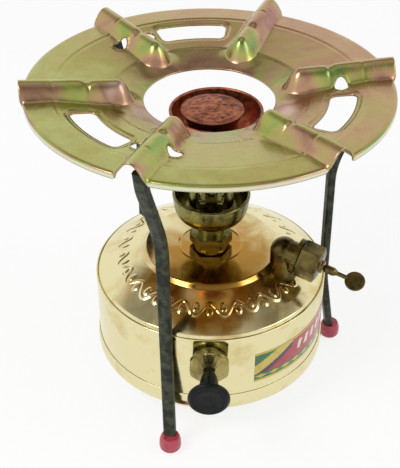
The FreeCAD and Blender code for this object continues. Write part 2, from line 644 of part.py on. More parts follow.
def make_piston_nut():
    """Hexagon nut at the rod's inner end."""
    nut = hexagon(PISTON_NUT_FLAT, PISTON_START, LEATHER_START)
    return on_pump_axis(nut.cut(rod(ROD_R + SLIP_FIT, 0, PUMP_MOUTH)))


def make_pump_leather():
    """Leather cup washer whose lip faces the valve."""
    rim_r = PUMP_BORE_R - LEATHER_FIT
    lip_end = LEATHER_START - LEATHER_LIP
    cup = rod(rim_r, lip_end, LEATHER_START + LEATHER_SHEET)
    cup = cup.cut(rod(rim_r - LEATHER_SHEET, lip_end - 1, LEATHER_START))
    return on_pump_axis(cup.cut(rod(ROD_R + SLIP_FIT, 0, PUMP_MOUTH)))


def make_piston_washer():
    """Flat washer between leather and collar."""
    return on_pump_axis(tube(PISTON_WASHER_R, ROD_R + SLIP_FIT, PISTON_WASHER_START, ROD_COLLAR_START))


def make_pump_knob():
    """Flat disc knob with a long swelling neck and a blind seat for the rod."""
    neck_end = KNOB_START + KNOB_NECK_LENGTH
    end = neck_end + KNOB_LENGTH
    swell_r = KNOB_NECK_TIP_R + (KNOB_NECK_R - KNOB_NECK_TIP_R) * 0.72
    knob = spun((0, KNOB_START), (KNOB_NECK_TIP_R, KNOB_START),
                ((swell_r, KNOB_START + KNOB_NECK_LENGTH * 0.42), (KNOB_NECK_R, neck_end)),
                (KNOB_R - KNOB_ROUND, neck_end),
                ((KNOB_R - KNOB_ROUND * 0.29, neck_end + KNOB_ROUND * 0.29), (KNOB_R, neck_end + KNOB_ROUND)),
                (KNOB_R, end - KNOB_ROUND),
                ((KNOB_R - KNOB_ROUND * 0.29, end - KNOB_ROUND * 0.29), (KNOB_R - KNOB_ROUND, end)),
                (0, end))
    return on_pump_axis(knob.cut(rod(ROD_R + SLIP_FIT, KNOB_START - 1, KNOB_START + KNOB_SOCKET)))


# ---- Non-return valve -------------------------------------------------------------------------
def valve_seat_face():
    """Distance of the valve's seat face from the tank's axis."""
    return PUMP_INNER_END - VALVE_SEAT


def make_valve_body():
    """Turned body in the barrel's end wall: port, seat, chamber and side outlets."""
    back = PUMP_INNER_END - VALVE_LENGTH
    body = rod(VALVE_R, back, PUMP_INNER_END - SLIP_FIT)
    body = body.fuse(rod(VALVE_SPIGOT_R, back, PUMP_INNER_END + PUMP_END_WALL))
    body = body.cut(rod(VALVE_CHAMBER_R, back - 1, valve_seat_face()))
    body = body.cut(rod(VALVE_PORT_R, back, PUMP_INNER_END + PUMP_END_WALL + 1))
    middle = back + VALVE_LENGTH * 0.45
    outlet = Part.makeCylinder(VALVE_PORT_R, 2 * VALVE_R + 2, V(-VALVE_R - 1, 0, middle), V(1, 0, 0))
    return on_pump_axis(body.cut(outlet))


def make_valve_pip():
    """Sliding carrier with its sealing pad against the seat."""
    high = valve_seat_face() - SLIP_FIT
    return on_pump_axis(rod(VALVE_CHAMBER_R - PIP_FIT, high - PIP_LENGTH, high))


def make_valve_plug():
    """Plug that closes the chamber and backs the spring."""
    back = PUMP_INNER_END - VALVE_LENGTH
    plug = rod(VALVE_CHAMBER_R - SLIP_FIT, back - SLIP_FIT, back + VALVE_PLUG)
    return on_pump_axis(plug.fuse(rod(VALVE_R * 0.8, back - VALVE_PLUG_HEAD, back - SLIP_FIT)))


def make_valve_spring():
    """Light coil spring between plug and pip."""
    low = PUMP_INNER_END - VALVE_LENGTH + VALVE_PLUG + SPRING_WIRE_R + SLIP_FIT
    high = valve_seat_face() - SLIP_FIT - PIP_LENGTH - SPRING_WIRE_R - SLIP_FIT
    step = (high - low) / (2 * SPRING_TURNS)
    bow_r = math.hypot(SPRING_R, step / 2)
    half_turns = []
    for i in range(2 * SPRING_TURNS):
        side = 1 if i % 2 == 0 else -1
        start = V(side * SPRING_R, 0, low + step * i)
        middle = V(0, side * bow_r, start.z + step / 2)
        end = V(-start.x, 0, start.z + step)
        half_turns.append(Part.Arc(start, middle, end).toShape())
    section = Part.Wire([Part.makeCircle(SPRING_WIRE_R, V(SPRING_R, 0, low), V(0, 1, 0))])
    return on_pump_axis(Part.Wire(half_turns).makePipeShell([section], True, True))


# ---- Filler (modelled along +Z from the elbow's centre) -----------------------------------------
def filler_centre():
    """Centre of the filler elbow."""
    return polar(FILLER_RADIUS, FILLER_ANGLE, FILLER_Z)


def filler_axis():
    """Direction in which the filler's mouth points."""
    turn, dip = math.radians(FILLER_ANGLE), math.radians(FILLER_DIP)
    return V(math.cos(turn) * math.cos(dip), math.sin(turn) * math.cos(dip), -math.sin(dip))


def on_filler_axis(shape):
    """A filler piece laid along the mouth's axis."""
    return along(shape, filler_centre(), filler_axis())


def make_filler_neck():
    """Elbow that stands on the dome and turns out into a threaded mouth with a collar."""
    centre = filler_centre()
    foot_z = dome_profile_z(FILLER_RADIUS + ELBOW_R) - ELBOW_ROOT
    stand = Part.makeCylinder(ELBOW_R, centre.z - foot_z, V(centre.x, centre.y, foot_z))
    mouth = rod(SPIGOT_R, 0, SPIGOT_LENGTH).fuse(rod(COLLAR_R, COLLAR_AT, COLLAR_AT + COLLAR_LENGTH))
    body = stand.fuse([Part.makeSphere(ELBOW_R, centre), on_filler_axis(mouth)])
    drop = Part.makeCylinder(ELBOW_BORE_R, centre.z - foot_z + 1, V(centre.x, centre.y, foot_z - 1))
    bore = on_filler_axis(rod(ELBOW_BORE_R, 0, SPIGOT_LENGTH + 1))
    return body.cut([drop, Part.makeSphere(ELBOW_BORE_R, centre), bore])


def make_filler_gasket():
    """Flat seal in the bottom of the cap."""
    return on_filler_axis(tube(SPIGOT_R, GASKET_HOLE_R, GASKET_START, GASKET_START + GASKET_SHEET))


def make_filler_cap():
    """Hexagonal cap with a small boss for the air screw."""
    cap = hexagon(FILLER_CAP_FLAT, FILLER_CAP_AT, FILLER_CAP_END, 1.4)
    cap = cap.fuse(rod(FILLER_CAP_BOSS_R, FILLER_CAP_END - 1, FILLER_CAP_END + FILLER_CAP_BOSS))
    cap = cap.cut(rod(CAP_BORE_R, FILLER_CAP_AT - 1, FILLER_CAP_INNER))
    return on_filler_axis(cap.cut(rod(AIR_STEM_R + AIR_FIT, 0, 2 * FILLER_CAP_END)))


def make_air_screw():
    """Air release screw: stem, shank, thin neck and a flat round thumb piece."""
    shank_end = AIR_SHANK_START + AIR_SHANK_LENGTH
    neck_end = shank_end + AIR_NECK_LENGTH
    screw = rod(AIR_STEM_R, FILLER_CAP_END + FILLER_CAP_BOSS - AIR_STEM_INSIDE, AIR_SHANK_START + 1)
    shank = spun((0, AIR_SHANK_START), (AIR_SHANK_R * 0.8, AIR_SHANK_START),
                 (AIR_SHANK_R, AIR_SHANK_START + 1.5), (AIR_SHANK_R, shank_end - 2.5),
                 (AIR_NECK_R, shank_end), (AIR_NECK_R, neck_end + 1.5), (0, neck_end + 1.5))
    disc = Part.makeCylinder(AIR_DISC_R, AIR_DISC_SHEET, V(0, 0, 0), V(1, 0, 0))
    disc.translate(V(-AIR_DISC_SHEET / 2, 0, neck_end + AIR_DISC_R))
    disc = disc.makeFillet(AIR_DISC_SHEET * 0.3, [e for e in disc.Edges if e.Closed])
    return on_filler_axis(screw.fuse([shank, disc]))


# ---- Burner -----------------------------------------------------------------------------------
def make_burner_boss():
    """Threaded bush soldered into the middle of the dome."""
    low = PLATEAU_Z - BOSS_DEPTH
    return tube(BOSS_R, BURNER_SPIGOT_R + SLIP_FIT, low, BOSS_TOP_Z)


def make_riser_gasket():
    """Fibre washer under the burner's nut."""
    return tube(GASKET_R, BURNER_SPIGOT_R + SLIP_FIT, BOSS_TOP_Z, NUT_Z)


def make_dip_tube():
    """Tube that takes the fuel from the bottom of the tank up to the burner."""
    low = BOTTOM_PLATE_TOP_Z + DIP_TUBE_GAP
    return tube(DIP_TUBE_R, DIP_TUBE_R - DIP_TUBE_WALL, low, NUT_Z - SLIP_FIT)


def burner_tube():
    """One bent vaporising tube in the XZ plane, from the block up to the head."""
    points = [V(BLOCK_R * 0.5, 0, BURNER_TUBE_LOW_Z),
              V(BURNER_TUBE_SPREAD, 0, BURNER_TUBE_LOW_Z + BURNER_TUBE_RISE),
              V(BURNER_TUBE_SPREAD, 0, HEAD_Z - BURNER_TUBE_RISE),
              V(HEAD_R * 0.6, 0, HEAD_Z + HEAD_HEIGHT / 2)]
    path = rounded_path(points, [BURNER_TUBE_BEND_R, BURNER_TUBE_BEND_R])
    section = Part.Wire([Part.makeCircle(BURNER_TUBE_R, points[0], points[1] - points[0])])
    return path.makePipeShell([section], True, True)


def make_burner_body():
    """Nut, stem, block, four tubes and head, brazed into one piece."""
    spigot = rod(BURNER_SPIGOT_R, PLATEAU_Z - BOSS_DEPTH, NUT_Z + 1)
    nut = hexagon(NUT_FLAT, NUT_Z, NUT_Z + NUT_HEIGHT, 0.9)
    stem = rod(STEM_R, NUT_Z + 1, CUP_Z - SLIP_FIT)
    block = rod(BLOCK_R, CUP_Z - 1, BLOCK_TOP_Z)
    pitch = 360.0 / BURNER_TUBE_COUNT
    tubes = [around(burner_tube(), pitch * (i + 0.5)) for i in range(BURNER_TUBE_COUNT)]
    head = rod(HEAD_R, HEAD_Z, HEAD_TOP_Z)
    mixing = rod(MIXING_R, HEAD_TOP_Z - MIXING_LENGTH, HEAD_TOP_Z + HEAD_SPIGOT)
    body = spigot.fuse([nut, stem, block, head, mixing] + tubes)
    body = body.cut(rod(MIXING_BORE_R, HEAD_TOP_Z - MIXING_LENGTH - 1, HEAD_TOP_Z + HEAD_SPIGOT + 1))
    return body.cut(rod(DIP_TUBE_R + SLIP_FIT, PLATEAU_Z - BOSS_DEPTH - 1, NUT_Z))


def make_jet():
    """Nipple that blows the vapour up into the mixing tube."""
    jet = hexagon(JET_FLAT, BLOCK_TOP_Z, BLOCK_TOP_Z + JET_HEX)
    top = BLOCK_TOP_Z + JET_HEX
    return jet.fuse(Part.makeCone(JET_FLAT / 2, JET_TIP_R, JET_CONE, V(0, 0, top)))


def make_spirit_cup():
    """Pressed cup around the stem that holds the priming spirit."""
    t = CUP_SHEET
    hole = BLOCK_R + SLIP_FIT
    rim_z = CUP_Z + CUP_HEIGHT
    belly_r = CUP_FLOOR_R + (CUP_R - CUP_FLOOR_R) * 0.72
    belly_z = CUP_Z + CUP_HEIGHT * 0.26
    bowl = spun((hole, CUP_Z), (CUP_FLOOR_R, CUP_Z), ((belly_r, belly_z), (CUP_R, rim_z)),
                (CUP_R - t, rim_z),
                ((belly_r - t * 0.75, belly_z + t * 0.75), (CUP_FLOOR_R, CUP_Z + t)), (hole, CUP_Z + t))
    bead = Part.makeTorus(CUP_R - t / 2, CUP_BEAD_R, V(0, 0, rim_z))
    return bowl.fuse(bead)


def make_outer_cap():
    """Flared copper cup lying loose on the burner's head, with a rolled rim."""
    t = OUTER_CAP_SHEET
    hole = MIXING_R + OUTER_CAP_PLAY
    rim_z = OUTER_CAP_RIM_Z - OUTER_CAP_BEAD_R
    belly_r = OUTER_CAP_FLOOR_R + (OUTER_CAP_RIM_R - OUTER_CAP_FLOOR_R) * 0.66
    belly_z = OUTER_CAP_Z + OUTER_CAP_HEIGHT * 0.34
    bowl = spun((hole, OUTER_CAP_Z), (OUTER_CAP_FLOOR_R, OUTER_CAP_Z),
                ((belly_r, belly_z), (OUTER_CAP_RIM_R, rim_z)), (OUTER_CAP_RIM_R - t, rim_z),
                ((belly_r - t * 0.75, belly_z + t * 0.75), (OUTER_CAP_FLOOR_R, OUTER_CAP_Z + t)),
                (hole, OUTER_CAP_Z + t))
    bead = Part.makeTorus(OUTER_CAP_RIM_R - t / 2, OUTER_CAP_BEAD_R, V(0, 0, rim_z))
    cup = bowl.fuse(bead)
    cup.translate(V(OUTER_CAP_SHIFT_X, 0, 0))
    return cup


def make_inner_cap():
    """Slightly crowned copper cap with a perforated skirt, standing in the outer cap."""
    t = INNER_CAP_SHEET
    edge_z = INNER_CAP_EDGE_Z
    root_r = INNER_CAP_ROOT_R
    cap = spun((0, edge_z + INNER_CAP_CROWN),
               ((INNER_CAP_R * 0.5, edge_z + INNER_CAP_CROWN * 0.8), (INNER_CAP_R, edge_z)),
               (INNER_CAP_R, edge_z - t), (root_r, INNER_CAP_Z), (root_r - t, INNER_CAP_Z),
               (INNER_CAP_R - 2 * t, edge_z - 1.5 * t), (0, edge_z - t))
    middle_z = (edge_z + INNER_CAP_Z) / 2
    pitch = 360.0 / FLAME_HOLE_COUNT
    hole = Part.makeCylinder(FLAME_HOLE_R, INNER_CAP_R, V(root_r * 0.5, 0, middle_z), V(1, 0, 0))
    return cap.cut([around(hole, pitch * i) for i in range(FLAME_HOLE_COUNT)])


# ---- Assembly ---------------------------------------------------------------------------------
def build_nodes():
    """Every node of the stove by name."""
    nodes = {
        "tank_top": make_tank_top(),
        "tank_wall": make_tank_wall(),
        "tank_bottom": make_tank_bottom(),
        "side_label": make_label(),
        "pot_ring": make_pot_ring(),
        "pump_barrel": make_pump_barrel(),
        "pump_cap": make_pump_cap(),
        "pump_rod": make_pump_rod(),
        "pump_knob": make_pump_knob(),
        "pump_leather": make_pump_leather(),
        "piston_washer": make_piston_washer(),
        "piston_nut": make_piston_nut(),
        "valve_body": make_valve_body(),
        "valve_pip": make_valve_pip(),
        "valve_spring": make_valve_spring(),
        "valve_plug": make_valve_plug(),
        "filler_neck": make_filler_neck(),
        "filler_gasket": make_filler_gasket(),
        "filler_cap": make_filler_cap(),
        "air_screw": make_air_screw(),
        "burner_boss": make_burner_boss(),
        "riser_gasket": make_riser_gasket(),
        "dip_tube": make_dip_tube(),
        "burner_body": make_burner_body(),
        "burner_jet": make_jet(),
        "spirit_cup": make_spirit_cup(),
        "outer_cap": make_outer_cap(),
        "inner_cap": make_inner_cap(),
    }
    for index, side in enumerate(LEG_SIDES):
        nodes["leg_" + side] = make_leg(index)
        nodes["leg_saddle_" + side] = make_saddle(index)
        nodes["foot_" + side] = make_foot(index)
    nodes["leg_rivets"] = Part.makeCompound([rivet_through(i, RIVET_R) for i in range(LEG_COUNT)])
    return nodes


def main():
    """Write one STEP file for each node."""
    os.makedirs("parts", exist_ok=True)
    for name, shape in build_nodes().items():
        shape.exportStep("parts/" + name + ".step")


main()
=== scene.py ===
"""Looks of a brass kerosene pressure stove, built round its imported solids.

Sizes are in millimetres unless a name says otherwise. The stove stands on the floor at Z = 0 with its
tank and burner on the Z axis, the pump pointing to -Y and the filler on the +X side.
"""

import logging
import math
from collections.abc import Iterable, Sequence
from dataclasses import dataclass, replace
from enum import Enum
from typing import Any

import bpy
import numpy as np
from mathutils import Matrix, Vector

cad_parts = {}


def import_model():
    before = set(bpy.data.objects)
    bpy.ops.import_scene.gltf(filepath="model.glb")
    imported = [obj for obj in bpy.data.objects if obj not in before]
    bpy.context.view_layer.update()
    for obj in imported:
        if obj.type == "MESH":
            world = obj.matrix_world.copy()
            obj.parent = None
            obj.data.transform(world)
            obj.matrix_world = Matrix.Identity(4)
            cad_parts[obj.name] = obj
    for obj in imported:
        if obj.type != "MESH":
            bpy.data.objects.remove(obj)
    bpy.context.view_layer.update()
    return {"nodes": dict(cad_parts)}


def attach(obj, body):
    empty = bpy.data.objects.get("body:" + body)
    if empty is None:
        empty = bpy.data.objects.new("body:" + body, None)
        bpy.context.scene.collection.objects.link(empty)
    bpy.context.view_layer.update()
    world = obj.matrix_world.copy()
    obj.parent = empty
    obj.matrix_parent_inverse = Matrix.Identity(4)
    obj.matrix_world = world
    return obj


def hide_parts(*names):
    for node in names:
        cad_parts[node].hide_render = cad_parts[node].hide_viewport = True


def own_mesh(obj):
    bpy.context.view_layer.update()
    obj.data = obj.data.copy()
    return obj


MM = 0.001
FRAME_WIDTH_PX = 400
FRAME_HEIGHT_PX = 468
# Height of the pump's axis, and angle and radius at which the filler's neck stands on the dome.
PUMP_HEIGHT = 69.5
FILLER_ANGLE = -25.0
FILLER_RADIUS = 51.3
log = logging.getLogger("stove")

Point = tuple[float, float]
Place = tuple[float, float, float]
Measure = float | np.ndarray
Tree = bpy.types.NodeTree
Node = bpy.types.Node
Socket = bpy.types.NodeSocket
Piece = bpy.types.Object


class Body(Enum):
    """Rigid bodies that the pieces made here ride on."""

    STOVE = "stove"
    PLUNGER = "plunger"
    FUEL_CAP = "fuel_cap"
    RING = "ring"
    FLAME_CUP = "flame_cup"
    FLAME_PLATE = "flame_plate"


# ---- Colour and nodes ---------------------------------------------------------------------------


def linear(hex_color: str) -> tuple[float, float, float, float]:
    """Turn an sRGB hex colour into the linear values that a shader takes.

    Args:
        hex_color: Six hex digits, such as "C4BE7A".

    Returns:
        Linear red, green, blue and an alpha of one.
    """
    channels = [int(hex_color[i : i + 2], 16) / 255 for i in (0, 2, 4)]
    red, green, blue = [c / 12.92 if c <= 0.04045 else ((c + 0.055) / 1.055) ** 2.4 for c in channels]
    return red, green, blue, 1.0


def add_node(tree: Tree, kind: str, inputs: dict[int | str, Any] | None = None, **settings: Any) -> Node:
    """Add a node with its settings, values and links.

    Args:
        tree: Node tree that gets the node.
        kind: Blender's name of the node type.
        inputs: Input name or number to a value, or to the output socket it is linked from.
        settings: Attributes of the node itself.

    Returns:
        The new node.
    """
    node = tree.nodes.new(kind)
    for name, value in settings.items():
        setattr(node, name, value)
    for key, value in (inputs or {}).items():
        if isinstance(value, Socket):
            tree.links.new(value, node.inputs[key])
        else:
            node.inputs[key].default_value = value
    return node


def noise_scale(size_mm: float) -> float:
    """Scale of a noise whose patches are about size_mm across, in object coordinates in metres."""
    return 1.0 / (size_mm * MM)


def axis_distance(tree: Tree, place: Socket, middle_mm: Point = (0.0, 0.0)) -> Socket:
    """Distance of each spot from an upright axis, the burner's unless another is given.

    Args:
        tree: Node tree that gets the nodes.
        place: Object coordinates.
        middle_mm: Where the axis meets the floor.

    Returns:
        Output socket of the distance.
    """
    flat = add_node(tree, "ShaderNodeVectorMath", {0: place, 1: (1.0, 1.0, 0.0)}, operation="MULTIPLY")
    inputs = {0: flat.outputs["Vector"], 1: (middle_mm[0] * MM, middle_mm[1] * MM, 0.0)}
    return add_node(tree, "ShaderNodeVectorMath", inputs, operation="DISTANCE").outputs["Value"]


def fill_ramp(ramp: bpy.types.ColorRamp, stops: Sequence[tuple[float, str]]) -> None:
    """Give a colour ramp its stops.

    Args:
        ramp: The ramp of a Color Ramp node.
        stops: Position and hex colour of each stop, in rising order.
    """
    while len(ramp.elements) < len(stops):
        ramp.elements.new(0.5)
    for element, (position, color) in zip(ramp.elements, stops):
        element.position = position
        element.color = linear(color)


# ---- Finishes -----------------------------------------------------------------------------------


@dataclass(frozen=True)
class Finish:
    """A surface with two mottled colours, a mottled gloss and a soft unevenness.

    Attributes:
        name: What the surface is and how it was made.
        slot: Name of a material slot; not used.
        main: Hex colour of most of the surface.
        patch: Hex colour of the patches in it.
        patch_mm: Width of the patches.
        patch_share: Where in the mottling the patch colour begins, 0 to 1; higher is rarer.
        metallic: 1 for bare metal, 0 for all else.
        roughness: Roughness of the clean surface.
        patch_roughness: Roughness in the patches.
        wave_mm: Width of the unevenness.
        wave_height_mm: Depth of the unevenness.
        grain_mm: Width of the fine grain.
        grain_height_mm: Depth of the fine grain.
        coat: Weight of a clear layer over the surface.
        coat_roughness: Roughness of that layer.
        ior: Index of refraction of what isn't metal; a metal keeps the default.
        specular: Level of the mirror-like share of what isn't metal.
    """

    name: str
    slot: str
    main: str
    patch: str
    patch_mm: float = 12.0
    patch_share: float = 0.55
    metallic: float = 0.0
    roughness: float = 0.4
    patch_roughness: float = 0.5
    wave_mm: float = 20.0
    wave_height_mm: float = 0.0
    grain_mm: float = 1.0
    grain_height_mm: float = 0.0
    coat: float = 0.0
    coat_roughness: float = 0.1
    ior: float = 1.5
    specular: float = 0.5

    def colour(self, tree: Tree, place: Socket) -> Socket:
        """Build the colour.

        Args:
            tree: The material's node tree.
            place: Object coordinates.

        Returns:
            Output socket of the colour.
        """
        mottle = add_node(
            tree,
            "ShaderNodeTexNoise",
            {"Vector": place, "Scale": noise_scale(self.patch_mm), "Detail": 4.0, "Roughness": 0.6},
        )
        ramp = add_node(tree, "ShaderNodeValToRGB", {"Fac": mottle.outputs["Fac"]})
        low, high = self.patch_share - 0.12, self.patch_share + 0.12
        fill_ramp(ramp.color_ramp, [(low, self.main), (high, self.patch)])
        return ramp.outputs["Color"]

    def gloss(self, tree: Tree, place: Socket) -> Socket:
        """Build the roughness.

        Args:
            tree: The material's node tree.
            place: Object coordinates.

        Returns:
            Output socket of the roughness.
        """
        smear = add_node(
            tree,
            "ShaderNodeTexNoise",
            {"Vector": place, "Scale": noise_scale(self.patch_mm * 0.7), "Detail": 5.0, "Roughness": 0.65},
        )
        span = add_node(
            tree,
            "ShaderNodeMapRange",
            {
                "Value": smear.outputs["Fac"],
                "From Min": 0.35,
                "From Max": 0.7,
                "To Min": self.roughness,
                "To Max": self.patch_roughness,
            },
        )
        return span.outputs["Result"]

    def relief(self, tree: Tree, place: Socket) -> Socket | None:
        """Build the normal from the unevenness and the grain.

        Args:
            tree: The material's node tree.
            place: Object coordinates.

        Returns:
            Output socket of the normal, or None for an even surface.
        """
        normal = None
        layers = ((self.wave_mm, self.wave_height_mm, 2.0), (self.grain_mm, self.grain_height_mm, 3.0))
        for size, height, detail in layers:
            if height <= 0:
                continue
            wave = add_node(
                tree, "ShaderNodeTexNoise", {"Vector": place, "Scale": noise_scale(size), "Detail": detail}
            )
            inputs = {"Height": wave.outputs["Fac"], "Distance": height * MM, "Strength": 1.0}
            if normal is not None:
                inputs["Normal"] = normal
            normal = add_node(tree, "ShaderNodeBump", inputs).outputs["Normal"]
        return normal

    def material(self) -> bpy.types.Material:
        """Make the finish's material on first use.

        Returns:
            The material.
        """
        if self.name in bpy.data.materials:
            return bpy.data.materials[self.name]
        material = bpy.data.materials.new(self.name)
        material.use_nodes = True
        tree = material.node_tree
        tree.nodes.clear()
        place = add_node(tree, "ShaderNodeTexCoord").outputs["Object"]
        inputs = {
            "Base Color": self.colour(tree, place),
            "Roughness": self.gloss(tree, place),
            "Metallic": self.metallic,
            "Coat Weight": self.coat,
            "Coat Roughness": self.coat_roughness,
        }
        if self.metallic < 0.5:
            inputs["IOR"] = self.ior
            inputs["Specular IOR Level"] = self.specular
        normal = self.relief(tree, place)
        if normal is not None:
            inputs["Normal"] = normal
        shader = add_node(tree, "ShaderNodeBsdfPrincipled", inputs)
        add_node(tree, "ShaderNodeOutputMaterial", {"Surface": shader.outputs["BSDF"]})
        return material


@dataclass(frozen=True)
class SpunBrass(Finish):
    """Brass sheet spun and buffed on a lathe: fine marks run round it.

    Attributes:
        mark_mm: Spacing of the buffing marks. Real ones are near 0.1 mm; they are drawn coarser to show.
        mark_height_mm: Depth of the marks.
        heat: Hex colour of the amber patches: heat stain and a painted reflection of the ring's underside.
        heat_and_reflection_middle_mm: Middle of the amber area, in front of the burner.
        heat_and_reflection_mm: Distances from that middle at which it is full and gone.
        heat_and_reflection_patch_mm: Width of the patches in its edge.
        heat_and_reflection_wander_mm: How far the edge wanders in and out.
        heat_and_reflection_share: How far it hides the brass in the middle.
    """

    mark_mm: float = 0.9
    mark_height_mm: float = 0.004
    # Amber of the heat stain and of the painted reflection on the dome's front.
    heat: str = "B07E22"
    heat_and_reflection_middle_mm: Point = (4.0, -20.0)
    heat_and_reflection_mm: Point = (24.0, 66.0)
    heat_and_reflection_patch_mm: float = 24.0
    heat_and_reflection_wander_mm: float = 60.0
    heat_and_reflection_share: float = 0.0

    def colour(self, tree: Tree, place: Socket) -> Socket:
        """Brass turning amber round a spot in front of the burner: heat stain and painted reflection.

        Args:
            tree: The material's node tree.
            place: Object coordinates.

        Returns:
            Output socket of the colour.
        """
        base = super().colour(tree, place)
        # Amber patches: heat stain near the burner and painted reflection of the ring's underside.
        away = axis_distance(tree, place, self.heat_and_reflection_middle_mm)
        patches = add_node(
            tree,
            "ShaderNodeTexNoise",
            {"Vector": place, "Scale": noise_scale(self.heat_and_reflection_patch_mm), "Detail": 2.0, "Distortion": 1.2},
        )
        uneven = add_node(
            tree,
            "ShaderNodeMath",
            {0: patches.outputs["Fac"], 1: -self.heat_and_reflection_wander_mm * MM, 2: away},
            operation="MULTIPLY_ADD",
        )
        share = add_node(
            tree,
            "ShaderNodeMapRange",
            {
                "Value": uneven.outputs["Value"],
                "From Min": (self.heat_and_reflection_mm[0] - self.heat_and_reflection_wander_mm / 2) * MM,
                "From Max": (self.heat_and_reflection_mm[1] - self.heat_and_reflection_wander_mm / 2) * MM,
                "To Min": self.heat_and_reflection_share,
                "To Max": 0.0,
            },
            interpolation_type="SMOOTHSTEP",
        )
        mixed = add_node(
            tree,
            "ShaderNodeMix",
            {"Factor": share.outputs["Result"], 6: base, 7: linear(self.heat)},
            data_type="RGBA",
        )
        return mixed.outputs[2]

    def turned_place(self, tree: Tree, place: Socket) -> Socket:
        """Coordinates that change with radius and height only.

        Args:
            tree: The material's node tree.
            place: Object coordinates.

        Returns:
            Output socket of the coordinates.
        """
        parts = add_node(tree, "ShaderNodeSeparateXYZ", {"Vector": place})
        spot = {"X": axis_distance(tree, place), "Z": parts.outputs["Z"]}
        return add_node(tree, "ShaderNodeCombineXYZ", spot).outputs["Vector"]

    def relief(self, tree: Tree, place: Socket) -> Socket | None:
        """Buffing marks over the slow unevenness of the sheet.

        Args:
            tree: The material's node tree.
            place: Object coordinates.

        Returns:
            Output socket of the normal.
        """
        marks = add_node(
            tree,
            "ShaderNodeTexNoise",
            {"Vector": self.turned_place(tree, place), "Scale": noise_scale(self.mark_mm), "Detail": 2.0},
        )
        inputs = {"Height": marks.outputs["Fac"], "Distance": self.mark_height_mm * MM, "Strength": 1.0}
        base = super().relief(tree, place)
        if base is not None:
            inputs["Normal"] = base
        return add_node(tree, "ShaderNodeBump", inputs).outputs["Normal"]


